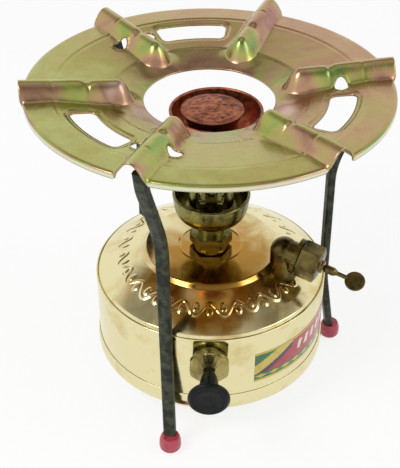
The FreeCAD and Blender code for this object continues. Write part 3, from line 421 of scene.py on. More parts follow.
@dataclass(frozen=True)
class PassivatedSteel(Finish):
    """Pressed steel sheet, zinc plated and yellow passivated: an oily rainbow film on satin metal.

    Its main colour is a painted highlight on the turned-down rim, and its patch colour is painted shade
    on the underside.

    Attributes:
        film: Stops of the film's colours, from its thin side at the left front to its thick side.
        film_mm: Width of the film's clouds.
        drift: Direction in which the film grows thicker.
        drift_mm: Distance from the axis at which it has drifted the full way.
        drift_share: How far along the stops it drifts.
        rim_mm: Radius and height at which that rim begins.
        rim_highlight_share: How far the painted highlight hides the film there.
        drawn: Stops of the film's colours where the press stretched the sheet: ribs and inner slope.
        drawn_mm: Width of the clouds in it.
        drawn_normal: Upward share of the normal where the stretching begins to show and where it is full.
        drawn_share: How far it hides the plain film there.
        inner_mm: Distances from the axis between which the inner slope runs out.
        inner_share: How far the stretching hides the plain film at the opening.
        underside_shade_normal: Upward share of the normal where painted shade begins and where it is full.
        underside_shade_share: How far the painted shade hides the film.
    """

    film: tuple[tuple[float, str], ...] = (
        (0.15, "B4B468"), (0.34, "ACA654"), (0.50, "B09E58"), (0.66, "BA9A68"), (0.85, "B48A62"),
    )  # fmt: skip
    film_mm: float = 38.0
    drift: Point = (0.82, 0.57)
    drift_mm: float = 105.0
    drift_share: float = 0.32
    rim_mm: Point = (107.6, 216.3)
    # Painted highlight on the turned-down rim.
    rim_highlight_share: float = 0.85
    drawn: tuple[tuple[float, str], ...] = (
        (0.34, "7A9A50"), (0.44, "A4A856"), (0.54, "B48C70"), (0.62, "96645E"), (0.74, "CCA8A2"),
    )  # fmt: skip
    drawn_mm: float = 36.0
    drawn_normal: Point = (0.98, 0.84)
    drawn_share: float = 0.8
    inner_mm: Point = (46.0, 64.0)
    inner_share: float = 0.75
    # Painted shade on the faces that turn down.
    underside_shade_normal: Point = (-0.25, -0.55)
    underside_shade_share: float = 0.9

    def colour(self, tree: Tree, place: Socket) -> Socket:
        """Clouds of the film's colours, drifting across the ring, stronger where the sheet was stretched.

        Args:
            tree: The material's node tree.
            place: Object coordinates.

        Returns:
            Output socket of the colour.
        """
        clouds = add_node(
            tree,
            "ShaderNodeTexNoise",
            {
                "Vector": place,
                "Scale": noise_scale(self.film_mm),
                "Detail": 4.0,
                "Roughness": 0.6,
                "Distortion": 0.8,
            },
        )
        drift = add_node(
            tree, "ShaderNodeVectorMath", {0: place, 1: (*self.drift, 0.0)}, operation="DOT_PRODUCT"
        )
        across = add_node(
            tree,
            "ShaderNodeMapRange",
            {
                "Value": drift.outputs["Value"],
                "From Min": -self.drift_mm * MM,
                "From Max": self.drift_mm * MM,
                "To Min": -self.drift_share,
                "To Max": self.drift_share,
            },
        )
        thick = add_node(
            tree, "ShaderNodeMath", {0: clouds.outputs["Fac"], 1: across.outputs["Result"]}, operation="ADD"
        )
        film = add_node(tree, "ShaderNodeValToRGB", {"Fac": thick.outputs["Value"]})
        fill_ramp(film.color_ramp, self.film)
        color = self.stretched(tree, place, film.outputs["Color"])
        # Painted highlight on the rim, then painted shade on the underside.
        return self.painted_underside_shade(tree, self.painted_rim_highlight(tree, place, color))

    def stretched(self, tree: Tree, place: Socket, color: Socket) -> Socket:
        """Green, pink and mauve film on the ribs' sides and the inner slope.

        Args:
            tree: The material's node tree.
            place: Object coordinates.
            color: Colour of the rest.

        Returns:
            Output socket of the colour.
        """
        clouds = add_node(
            tree,
            "ShaderNodeTexNoise",
            {"Vector": place, "Scale": noise_scale(self.drawn_mm), "Detail": 2.0, "Distortion": 0.6},
        )
        film = add_node(tree, "ShaderNodeValToRGB", {"Fac": clouds.outputs["Fac"]})
        fill_ramp(film.color_ramp, self.drawn)
        geometry = add_node(tree, "ShaderNodeNewGeometry")
        facing = add_node(tree, "ShaderNodeSeparateXYZ", {"Vector": geometry.outputs["Normal"]})
        steep = add_node(
            tree,
            "ShaderNodeMapRange",
            {
                "Value": facing.outputs["Z"],
                "From Min": self.drawn_normal[0],
                "From Max": self.drawn_normal[1],
                "To Max": self.drawn_share,
            },
        )
        inner = add_node(
            tree,
            "ShaderNodeMapRange",
            {
                "Value": axis_distance(tree, place),
                "From Min": self.inner_mm[0] * MM,
                "From Max": self.inner_mm[1] * MM,
                "To Min": self.inner_share,
                "To Max": 0.0,
            },
        )
        inputs = {0: steep.outputs["Result"], 1: inner.outputs["Result"]}
        share = add_node(tree, "ShaderNodeMath", inputs, operation="MAXIMUM")
        mixed = add_node(
            tree,
            "ShaderNodeMix",
            {"Factor": share.outputs["Value"], 6: color, 7: film.outputs["Color"]},
            data_type="RGBA",
        )
        return mixed.outputs[2]

    def painted_underside_shade(self, tree: Tree, color: Socket) -> Socket:
        """Painted shade: a darker brown on every face that turns down.

        Args:
            tree: The material's node tree.
            color: Colour of the upper side.

        Returns:
            Output socket of the colour.
        """
        geometry = add_node(tree, "ShaderNodeNewGeometry")
        facing = add_node(tree, "ShaderNodeSeparateXYZ", {"Vector": geometry.outputs["True Normal"]})
        under = add_node(
            tree,
            "ShaderNodeMapRange",
            {
                "Value": facing.outputs["Z"],
                "From Min": self.underside_shade_normal[0],
                "From Max": self.underside_shade_normal[1],
                "To Max": self.underside_shade_share,
            },
        )
        shaded_colour = add_node(
            tree,
            "ShaderNodeMix",
            {"Factor": under.outputs["Result"], 6: color, 7: linear(self.patch)},
            data_type="RGBA",
        )
        return shaded_colour.outputs[2]

    def painted_rim_highlight(self, tree: Tree, place: Socket, color: Socket) -> Socket:
        """Painted highlight: a paler colour on the turned-down rim.

        Args:
            tree: The material's node tree.
            place: Object coordinates.
            color: Colour of the rest.

        Returns:
            Output socket of the colour.
        """
        parts = add_node(tree, "ShaderNodeSeparateXYZ", {"Vector": place})
        outside = add_node(
            tree,
            "ShaderNodeMapRange",
            {
                "Value": axis_distance(tree, place),
                "From Min": (self.rim_mm[0] - 2.4) * MM,
                "From Max": (self.rim_mm[0] - 0.4) * MM,
            },
        )
        below = add_node(
            tree,
            "ShaderNodeMapRange",
            {
                "Value": parts.outputs["Z"],
                "From Min": self.rim_mm[1] * MM,
                "From Max": (self.rim_mm[1] - 0.7) * MM,
                "To Max": self.rim_highlight_share,
            },
        )
        inputs = {0: outside.outputs["Result"], 1: below.outputs["Result"]}
        share = add_node(tree, "ShaderNodeMath", inputs, operation="MULTIPLY")
        rim = add_node(
            tree,
            "ShaderNodeMix",
            {"Factor": share.outputs["Value"], 6: color, 7: linear(self.main)},
            data_type="RGBA",
        )
        return rim.outputs[2]


# Bright wrought brass, spun, buffed and a little tarnished: a clear, pale straw-coloured mirror.
BRASS = SpunBrass(
    "brass sheet, spun and polished", "brass", "E6DCAC", "CFBA78",
    patch_mm=22.0, patch_share=0.64, metallic=1.0, roughness=0.09, patch_roughness=0.17,
    wave_mm=24.0, wave_height_mm=0.14,
)  # fmt: skip
# The dome's sheet: amber patches round a spot in front of the burner, heat stain and painted reflection.
BRASS_HEAT_AND_REFLECTION = replace(BRASS, name="brass sheet, spun, heat stain and painted reflection", heat_and_reflection_share=0.92)
# Turned brass that has been hot: olive brown, with a duller shine.
BRASS_AGED = Finish(
    "brass, machined and heat dulled", "brass_aged", "8C8650", "4E4826",
    patch_mm=9.0, patch_share=0.58, metallic=1.0, roughness=0.16, patch_roughness=0.36,
    wave_mm=6.0, wave_height_mm=0.03,
)  # fmt: skip
# Turned brass cap: tan, with bright arrises and the lathe's radial glints.
BRASS_TURNED = Finish(
    "brass, turned and dulled", "brass_aged", "A89A62", "74663A",
    patch_mm=9.0, patch_share=0.56, metallic=1.0, roughness=0.2, patch_roughness=0.36,
    wave_mm=6.0, wave_height_mm=0.02,
)  # fmt: skip
# Cast brass, rubbed bright only where hands touch it.
BRASS_CAST = Finish(
    "brass, cast and tarnished", "brass_cast", "74653A", "2A2410",
    patch_mm=13.0, patch_share=0.52, metallic=1.0, roughness=0.16, patch_roughness=0.4,
    wave_mm=4.0, wave_height_mm=0.06,
)  # fmt: skip
# Copper sheet scaled by the flame: brown red with a low shine.
COPPER = Finish(
    "copper sheet, pressed and flame darkened", "copper", "B46E50", "6A3A28",
    patch_mm=5.0, patch_share=0.55, metallic=1.0, roughness=0.28, patch_roughness=0.5,
    wave_mm=3.0, wave_height_mm=0.03,
)  # fmt: skip
# Pressed steel under a yellow chromate film: satin straw metal, green and mauve where it was stretched,
# with a painted highlight on the rim and painted shade on the underside.
RING_STEEL = PassivatedSteel(
    "steel sheet, zinc plated and yellow passivated", "ring_steel", "E6E2C6", "8C6A34",
    patch_mm=11.0, metallic=1.0, roughness=0.22, patch_roughness=0.34,
    wave_mm=26.0, wave_height_mm=0.22, grain_mm=1.4, grain_height_mm=0.006, coat=0.35,
)  # fmt: skip
# Bar with a thin stove enamel: dark and satin, worn dull in places.
LEG_STEEL = Finish(
    "steel bar, dark enamelled", "leg_steel", "262A20", "4C5040",
    patch_mm=6.0, patch_share=0.54, metallic=0.0, roughness=0.34, patch_roughness=0.55,
    wave_mm=7.0, wave_height_mm=0.14, specular=0.16,
)  # fmt: skip
# Drawn rod and spring wire, oiled: a plain grey shine.
STEEL = Finish(
    "steel rod, drawn bright", "steel", "B4B4AE", "8C8C86",
    patch_mm=6.0, metallic=1.0, roughness=0.22, patch_roughness=0.35,
)  # fmt: skip
# Soft vinyl dipped caps: a shiny, slightly bluish red.
FOOT_RED = Finish(
    "vinyl, dipped red", "foot_red", "B43A4C", "8E2036",
    patch_mm=5.0, patch_share=0.6, roughness=0.3, patch_roughness=0.45, coat=0.25, ior=1.52,
    wave_mm=4.0, wave_height_mm=0.06,
)  # fmt: skip
# Phenolic moulding: near black with a greenish cast and a worn gloss.
BLACK_KNOB = Finish(
    "phenolic plastic, moulded black", "black_knob", "0A0D0B", "161B16",
    patch_mm=7.0, patch_share=0.55, roughness=0.26, patch_roughness=0.42, ior=1.6, specular=0.14,
    wave_mm=5.0, wave_height_mm=0.03,
)  # fmt: skip
# Pressed fibre: nearly black and quite dull.
GASKET = Finish("fibre, pressed seal", "gasket", "26221C", "3A3228", patch_mm=2.0, roughness=0.75)
# Leather soaked in oil: dark brown, with a low sheen.
LEATHER = Finish("leather, oiled", "leather", "5A3A20", "3C2614", patch_mm=3.0, roughness=0.6)


@dataclass(frozen=True)
class FoilInk(Finish):
    """Printed foil: smooth, with a thin gloss varnish over the ink."""

    roughness: float = 0.3
    patch_roughness: float = 0.36
    coat: float = 0.4
    patch_mm: float = 9.0
    patch_share: float = 0.6


# Printing inks of the label's plain blocks, a little faded and even in tone.
INK_RED = FoilInk("foil, red ink", "label", "B22A38", "9A2432")
INK_YELLOW = FoilInk("foil, yellow ink", "label", "CDB84C", "B8A23E")
INK_GREEN = FoilInk("foil, green ink", "label", "2F6B3A", "275C32")
INK_PURPLE = FoilInk("foil, purple ink", "label", "4A2A4C", "3A2040")
INK_CREAM = FoilInk("foil, cream ink", "label", "E4DCC0", "D4CAAA")


# ---- Meshes -------------------------------------------------------------------------------------


def mesh_object(
    name: str,
    points: Sequence[Sequence[float]] | np.ndarray,
    faces: Sequence[Sequence[int]],
    sharp_angle: float = 35.0,
) -> Piece:
    """Make a mesh object from points in millimetres.

    Args:
        name: Name of the piece.
        points: Corner positions in millimetres.
        faces: Corner numbers of each face.
        sharp_angle: Edges bent by more than this many degrees stay crisp.

    Returns:
        The new object, linked to the scene and at the origin.
    """
    mesh = bpy.data.meshes.new(name)
    mesh.from_pydata((np.asarray(points, dtype=float) * MM).tolist(), [], [tuple(f) for f in faces])
    mesh.validate()
    mesh.shade_smooth()
    mesh.set_sharp_from_angle(angle=math.radians(sharp_angle))
    piece = bpy.data.objects.new(name, mesh)
    bpy.context.scene.collection.objects.link(piece)
    return piece


def smoothstep(share: np.ndarray) -> np.ndarray:
    """Ease a share from 0 to 1 in and out."""
    return share * share * (3 - 2 * share)


def off_nearest(angle: np.ndarray, first: float, pitch: float) -> np.ndarray:
    """Angle from the nearest of the evenly spaced angles that run on from the first."""
    return (angle - first + pitch / 2) % pitch - pitch / 2


def even_angles(steps: int) -> np.ndarray:
    """Evenly spaced angles round an axis."""
    return np.arange(steps) * 2 * math.pi / steps


def round_points(radius: np.ndarray, angle: np.ndarray, height: np.ndarray) -> np.ndarray:
    """List the corners of rows that run round the Z axis.

    Args:
        radius: Distance of each corner from the axis.
        angle: Angle of each corner.
        height: Height of each corner.

    Returns:
        One place per corner, row after row.
    """
    return np.stack([radius * np.cos(angle), radius * np.sin(angle), height], axis=-1).reshape(-1, 3)


def sheet_faces(cells: Iterable[tuple[int, int]], steps: int) -> list[tuple[int, ...]]:
    """Join the corners of rows that run round an axis into faces.

    Args:
        cells: Row and column of each face's first corner.
        steps: Corners in a row.

    Returns:
        Corner numbers of each face.
    """
    faces = []
    for i, j in cells:
        k = (j + 1) % steps
        faces.append((i * steps + j, (i + 1) * steps + j, (i + 1) * steps + k, i * steps + k))
    return faces


def rounded(points: Sequence[Point], radii: Sequence[float], steps: int) -> list[Point]:
    """Round the corners of an open outline.

    Args:
        points: Corners of the outline.
        radii: Radius for each inner corner; 0 keeps it sharp.
        steps: Stretches in each round.

    Returns:
        Points of the rounded outline.
    """
    path: list[Point] = [points[0]]
    for before, corner, after, radius in zip(points, points[1:], points[2:], radii):
        p, c, q = Vector(before), Vector(corner), Vector(after)
        back, ahead = (p - c).normalized(), (q - c).normalized()
        half = math.acos(max(-1.0, min(1.0, back.dot(ahead)))) / 2
        if radius <= 0 or half > math.radians(89.0):
            path.append(corner)
            continue
        reach = min(radius / math.tan(half), (p - c).length * 0.49, (q - c).length * 0.49)
        radius = reach * math.tan(half)
        centre = c + (back + ahead).normalized() * (radius / math.sin(half))
        first, last = c + back * reach - centre, c + ahead * reach - centre
        turn = first.angle_signed(last)
        for i in range(steps + 1):
            spoke = first.copy()
            spoke.rotate(Matrix.Rotation(-turn * i / steps, 2))
            path.append(tuple(centre + spoke))
    path.append(points[-1])
    return path


def lathe(name: str, outline: Sequence[Point], steps: int) -> Piece:
    """Turn a closed outline about the Z axis.

    Args:
        name: Name of the piece.
        outline: Radius and height of each point, in order; the last joins the first.
        steps: Stretches round the axis.

    Returns:
        The turned piece.
    """
    points: list[Place] = []
    rows: list[list[int]] = []
    for radius, height in outline:
        if radius < 1e-6:
            rows.append([len(points)] * steps)
            points.append((0.0, 0.0, height))
            continue
        rows.append(list(range(len(points), len(points) + steps)))
        for i in range(steps):
            angle = 2 * math.pi * i / steps
            points.append((radius * math.cos(angle), radius * math.sin(angle), height))
    faces = []
    for low, high in zip(rows, rows[1:] + rows[:1]):
        for i in range(steps):
            j = (i + 1) % steps
            corners = list(dict.fromkeys([low[i], low[j], high[j], high[i]]))
            if len(corners) > 2:
                faces.append(corners)
    return mesh_object(name, points, faces)


def joined_rows(
    name: str, rows: Sequence[tuple[Measure, Measure]], steps: int, sharp_angle: float
) -> Piece:
    """Make a closed piece from rows of corners that run round the Z axis.

    Args:
        name: Name of the piece.
        rows: Radius and height of each row, as one value or one per corner; the last row joins the first.
        steps: Corners in a row.
        sharp_angle: Edges bent by more than this many degrees stay crisp.

    Returns:
        The piece.
    """
    radius, height = (np.array([np.broadcast_to(row[k], steps) for row in rows]) for k in (0, 1))
    faces = []
    for row, column in np.ndindex(len(rows), steps):
        start, after = row * steps, (row + 1) % len(rows) * steps
        ahead = (column + 1) % steps
        faces.append((start + column, start + ahead, after + ahead, after + column))
    angle = np.broadcast_to(even_angles(steps), radius.shape)
    return mesh_object(name, round_points(radius, angle, height), faces, sharp_angle)


def nut(name: str, across: float, low: float, high: float, chamfer: float, hole: float) -> Piece:
    """Make a hexagon with turned-off corners on its upper end, along Z.

    Args:
        name: Name of the piece.
        across: Width across the flats.
        low: Lower end.
        high: Upper end.
        chamfer: Depth to which the corners are turned off.
        hole: Radius of the hole through it.

    Returns:
        The hexagon.
    """
    steps, sharp_angle = 60, 28.0
    corner = across / math.sqrt(3)
    off = np.abs(off_nearest(even_angles(steps), 0.0, math.pi / 3))
    reach = across / 2 / np.cos(math.pi / 6 - off)
    shoulder = high - chamfer + (corner - reach) / 2
    rows = [(hole, low), (reach, low), (reach, shoulder), (corner - 2 * chamfer, high), (hole, high)]
    piece = joined_rows(name, rows, steps, sharp_angle)
    edge = piece.modifiers.new("soft edges", "BEVEL")
    edge.width = 0.3 * MM
    edge.segments = 2
    edge.limit_method = "ANGLE"
    edge.angle_limit = math.radians(sharp_angle)
    edge.harden_normals = True
    return piece


def laid_along(piece: Piece, origin: Vector, direction: Vector) -> Piece:
    """Lay a piece made along +Z along another direction, in its own mesh.

    Args:
        piece: The piece, whose mesh is moved.
        origin: New place of its origin, in millimetres.
        direction: New direction of its +Z.

    Returns:
        The same piece.
    """
    turn = Vector((0, 0, 1)).rotation_difference(direction).to_matrix().to_4x4()
    piece.data.transform(Matrix.Translation(origin * MM) @ turn)
    return piece


def drilled(piece: Piece, drill: Piece) -> Piece:
    """Cut a hole through a piece made here.

    Args:
        piece: The closed piece.
        drill: Closed shape of the hole, which is used up.

    Returns:
        The same piece.
    """
    cut = piece.modifiers.new("hole", "BOOLEAN")
    cut.operation = "DIFFERENCE"
    cut.object = drill
    bpy.context.view_layer.update()
    graph = bpy.context.evaluated_depsgraph_get()
    mesh = bpy.data.meshes.new_from_object(piece.evaluated_get(graph))
    piece.modifiers.clear()
    piece.data = mesh
    bpy.data.objects.remove(drill)
    return piece


def dress(piece: Piece, finish: Finish, body: Body | None = None, replaces: Sequence[str] = ()) -> Piece:
    """Give a piece its finish, and for a piece made here also its body and the solids it stands for.

    Args:
        piece: A node of the frame or a piece made here.
        finish: Finish of its whole surface.
        body: Rigid body that it rides on; None for a node of the frame.
        replaces: Nodes of the frame that it stands for.

    Returns:
        The same piece.
    """
    piece.data.materials.clear()
    piece.data.materials.append(finish.material())
    if body is not None:
        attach(piece, body.value)
    if replaces:
        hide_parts(*replaces)
    log.info("%s: %s", piece.name, finish.name)
    return piece


# ---- Pot ring -----------------------------------------------------------------------------------


@dataclass
class PotRing:
    """Dished and ribbed pressing that carries the pot.

    Attributes:
        shift: How far its middle lies off the burner's axis.
        slope: Radius and height of the plain dish's upper face.
        crest: Distance along a rib and height of its crest.
        rib_nose: Distance from the axis at which a rib's inner end begins to round off.
        rib_end: Distance from the axis to a rib's outer end, which reaches past the rim.
        rib_end_blend: Length along the rim over which the end runs back into it.
        foot_halves: Distance along a rib and half width of its soft foot.
        foot_share: How much of a rib's height the soft foot takes up.
        first_rib: Angle of the first of six ribs, in degrees.
        window_radius: Distance from the axis to the windows' middles.
        eyelet_angle: Angle between a rib over a leg and the eyelets beside it, in degrees.
        border_width: Distance from a window at which the sunk border round it ends.
        groove_radius: Radius of the fine groove inside the rim.
        fine_step: Spacing of the rows inside fine_until; plain_step is theirs from there to rim_start.
    """

    shift: Point = (-1.8, 0.3)
    rim_radius: float = 109.0
    opening_radius: float = 39.0
    sheet: float = 1.0
    flange: float = 3.6
    slope: tuple[Point, ...] = (
        (36.0, 206.4), (39.0, 207.0), (57.6, 211.1), (59.2, 211.8), (91.0, 216.7), (92.6, 217.0),
        (120.0, 217.0),
    )  # fmt: skip
    crest: tuple[Point, ...] = (
        (38.0, 222.9), (52.0, 223.1), (66.0, 223.6), (69.0, 223.5), (71.0, 222.6), (73.0, 223.6),
        (75.0, 224.4), (80.0, 224.8), (110.2, 226.4),
    )  # fmt: skip
    rib_half_width: float = 9.8
    rib_nose: float = 54.5
    rib_nose_length: float = 10.5
    foot_halves: tuple[Point, ...] = ((48.0, 17.0), (76.0, 9.8))
    foot_length: float = 17.0
    foot_share: float = 0.2
    rib_end: float = 110.2
    rib_end_half: float = 8.8
    rib_end_spread: float = 1.2
    rib_end_blend: float = 1.9
    first_rib: float = -111.0
    window_radius: float = 78.25
    window_half_depth: float = 7.75
    window_half_angle: float = 16.0
    window_corner: float = 4.0
    eyelet_radius: float = 4.0
    eyelet_circle: float = 77.5
    eyelet_angle: float = 8.0
    border_width: float = 3.2
    border_slope: float = 0.9
    border_depth: float = 0.8
    lip_height: float = 1.0
    lip_width: float = 0.7
    groove_radius: float = 91.4
    groove_depth: float = 0.35
    groove_width: float = 0.7
    steps_round: int = 720
    fine_step: float = 0.55
    plain_step: float = 0.9
    fine_until: float = 52.0
    rim_start: float = 106.4

    @property
    def pitch(self) -> float:
        """Angle from rib to rib."""
        return math.pi / 3

    def plate_height(self, radius: np.ndarray) -> np.ndarray:
        """Upper face of the plain dish at a radius."""
        return np.interp(radius, *zip(*self.slope))

    def rib_rise(self, along: np.ndarray, across: np.ndarray) -> np.ndarray:
        """How far a rib stands above the dish: rounded crest, soft feet and a round nose.

        Args:
            along: Distance from the axis along the rib.
            across: Distance from the rib's middle line.

        Returns:
            Rise above the plain dish, zero beside the rib.
        """
        crest = np.interp(along, *zip(*self.crest)) - self.plate_height(along)
        past = np.minimum(along - self.rib_nose, 0.0)
        away = np.hypot(past / self.rib_nose_length, across / self.rib_half_width)
        body = (1.0 - np.clip(away, 0.0, 1.0) ** 2.4) ** 1.5
        away = np.hypot(past / self.foot_length, across / np.interp(along, *zip(*self.foot_halves)))
        foot = (1.0 - np.clip(away, 0.0, 1.0) ** 2) ** 2
        return crest * (body * (1.0 - self.foot_share) + foot * self.foot_share)

    def sector_gap(self, radius: np.ndarray, angle: np.ndarray) -> np.ndarray:
        """Distance from the outline of a window in the middle of the nearest sector between two ribs.

        Args:
            radius: Distance from the axis.
            angle: Angle round it.

        Returns:
            The distance, negative inside the outline. Every second sector has no window.
        """
        off = off_nearest(angle, math.radians(self.first_rib + 30.0), self.pitch)
        half = math.radians(self.window_half_angle) * self.window_radius - self.window_corner
        across = np.abs(off * self.window_radius) - half
        along = np.abs(radius - self.window_radius) - (self.window_half_depth - self.window_corner)
        outside = np.hypot(np.maximum(across, 0), np.maximum(along, 0))
        return outside + np.minimum(np.maximum(across, along), 0) - self.window_corner

    def is_open_sector(self, angle: np.ndarray) -> np.ndarray:
        """True where the sector has a punched window, every second one starting at the right front."""
        sector = np.floor((np.degrees(angle) - self.first_rib) / 60.0) % 6
        return sector % 2 == 1

    def eyelet_gap(self, radius: np.ndarray, angle: np.ndarray) -> np.ndarray:
        """Distance from the edge of the nearest eyelet.

        Args:
            radius: Distance from the axis.
            angle: Angle round it.

        Returns:
            The distance, negative inside the eyelet.
        """
        gaps = []
        for leg in range(3):
            for side in (-1, 1):
                middle = math.radians(self.first_rib + 120.0 * leg + side * self.eyelet_angle)
                x = radius * np.cos(angle - middle) - self.eyelet_circle
                y = radius * np.sin(angle - middle)
                gaps.append(np.hypot(x, y) - self.eyelet_radius)
        return np.minimum.reduce(gaps)

    def hole_gap(self, radius: np.ndarray, angle: np.ndarray) -> np.ndarray:
        """Distance from the edge of the nearest window or eyelet, negative inside it."""
        window = np.where(self.is_open_sector(angle), self.sector_gap(radius, angle), np.inf)
        return np.minimum(window, self.eyelet_gap(radius, angle))

    def surface(self, radius: np.ndarray, angle: np.ndarray) -> np.ndarray:
        """Upper face of the whole pressing.

        Args:
            radius: Distance from the axis.
            angle: Angle round it.

        Returns:
            Height of the sheet.
        """
        gap = self.sector_gap(radius, angle)
        border = smoothstep(np.clip((self.border_width - gap) / self.border_slope, 0.0, 1.0))
        sunk = np.where(self.is_open_sector(angle), self.border_depth * border, 0.0)
        lip = np.exp(-(((self.eyelet_gap(radius, angle) - 0.5) / self.lip_width) ** 2))
        groove = np.exp(-(((radius - self.groove_radius) / self.groove_width) ** 2))
        height = self.plate_height(radius) - sunk + self.lip_height * lip - self.groove_depth * groove
        off = off_nearest(angle, math.radians(self.first_rib), self.pitch)
        return height + self.rib_rise(radius * np.cos(off), radius * np.sin(off))

    def radial_steps(self) -> np.ndarray:
        """Space the rows inside the rim, finer at the ribs' noses.

        Returns:
            Radius of each row.
        """
        inner = np.arange(self.opening_radius, self.fine_until, self.fine_step)
        middle = np.arange(self.fine_until, self.rim_start, self.plain_step)
        edges = [self.window_radius - self.window_half_depth, self.window_radius + self.window_half_depth]
        rows = np.unique(np.concatenate([inner, middle, edges]))
        closest = 0.3
        keep = [rows[0]]
        for row in rows[1:]:
            if row - keep[-1] > closest or row in edges:
                keep.append(row)
        return np.array(keep)

    def grid(self) -> tuple[np.ndarray, np.ndarray, np.ndarray]:
        """Lay the corners in rows that run outwards and over the rim.

        Returns:
            Radius, angle and height of every corner.
        """
        angle = np.radians(np.arange(self.steps_round) * 360.0 / self.steps_round + self.first_rib)
        rows = self.radial_steps()
        radius, turn = np.meshgrid(rows, angle, indexing="ij")
        height = self.surface(radius, turn)
        off = off_nearest(angle, math.radians(self.first_rib), self.pitch)
        across = np.abs(self.rim_radius * np.sin(off))
        inside = self.rib_end_half + self.rib_end_spread - across
        share = smoothstep(np.clip(inside / self.rib_end_blend, 0.0, 1.0))
        end = self.rim_radius + (self.rib_end / np.cos(off) - self.rim_radius) * share
        start = rows[-1]
        fall = (0.0, 0.05, 0.16, 0.36, 0.7, 1.0)
        reach = (0.35, 0.7, 0.93, 1.0, 1.0, 1.0)
        extra_radius, extra_height = [], []
        for i, (drop, out) in enumerate(zip(fall, reach)):
            even = (i + 1) / len(fall)
            spot = start + (end - start) * (out * (1 - share) + even * share)
            extra_radius.append(spot)
            extra_height.append(self.surface(spot, angle) - self.flange * drop * (1 - share))
        radius = np.vstack([radius, extra_radius])
        height = np.vstack([height, extra_height])
        turn = np.vstack([turn, np.tile(angle, (len(fall), 1))])
        return radius, turn, height

    def build(self) -> None:
        """Press the ring: the sheet's upper face, its punched holes and its thickness."""
        radius, turn, height = self.grid()
        rows, steps = radius.shape
        gap = self.hole_gap(radius, turn)
        nxt = np.roll(np.arange(steps), -1)
        centre_gap = (gap[:-1] + gap[1:] + gap[:-1][:, nxt] + gap[1:][:, nxt]) / 4
        solid = centre_gap > 0
        touched = np.zeros((rows, steps), dtype=bool)
        punched = np.zeros((rows, steps), dtype=bool)
        for dr in (0, 1):
            for da in (0, 1):
                touched[dr : rows - 1 + dr] |= np.roll(solid, da, axis=1)
                punched[dr : rows - 1 + dr] |= np.roll(~solid, da, axis=1)
        edge = touched & punched
        radius, turn = self.pulled_to_edge(radius, turn, edge)
        height = np.where(edge, self.surface(radius, turn), height)
        points = round_points(radius, turn, height) + (*self.shift, 0.0)
        faces = sheet_faces(zip(*np.nonzero(solid)), steps)
        piece = mesh_object("pot_ring_sheet", points, faces, sharp_angle=60.0)
        thick = piece.modifiers.new("sheet", "SOLIDIFY")
        thick.thickness = self.sheet * MM
        thick.offset = -1.0
        dress(piece, RING_STEEL, Body.RING, ["pot_ring"])

    def pulled_to_edge(
        self, radius: np.ndarray, turn: np.ndarray, edge: np.ndarray
    ) -> tuple[np.ndarray, np.ndarray]:
        """Move the corners beside a hole onto its outline.

        Args:
            radius: Radius of every corner.
            turn: Angle of every corner.
            edge: True for the corners beside a hole.

        Returns:
            New radius and angle of every corner.
        """
        radius, turn = radius.copy(), turn.copy()
        r, a = radius[edge], turn[edge]
        small = 0.05
        for _ in range(4):
            here = self.hole_gap(r, a)
            slope_r = (self.hole_gap(r + small, a) - here) / small
            slope_t = (self.hole_gap(r, a + small / r) - here) / small
            size = np.maximum(slope_r**2 + slope_t**2, 0.25)
            r = r - here * slope_r / size
            a = a - here * slope_t / size / r
        radius[edge], turn[edge] = r, a
        return radius, turn


# ---- Tank ---------------------------------------------------------------------------------------


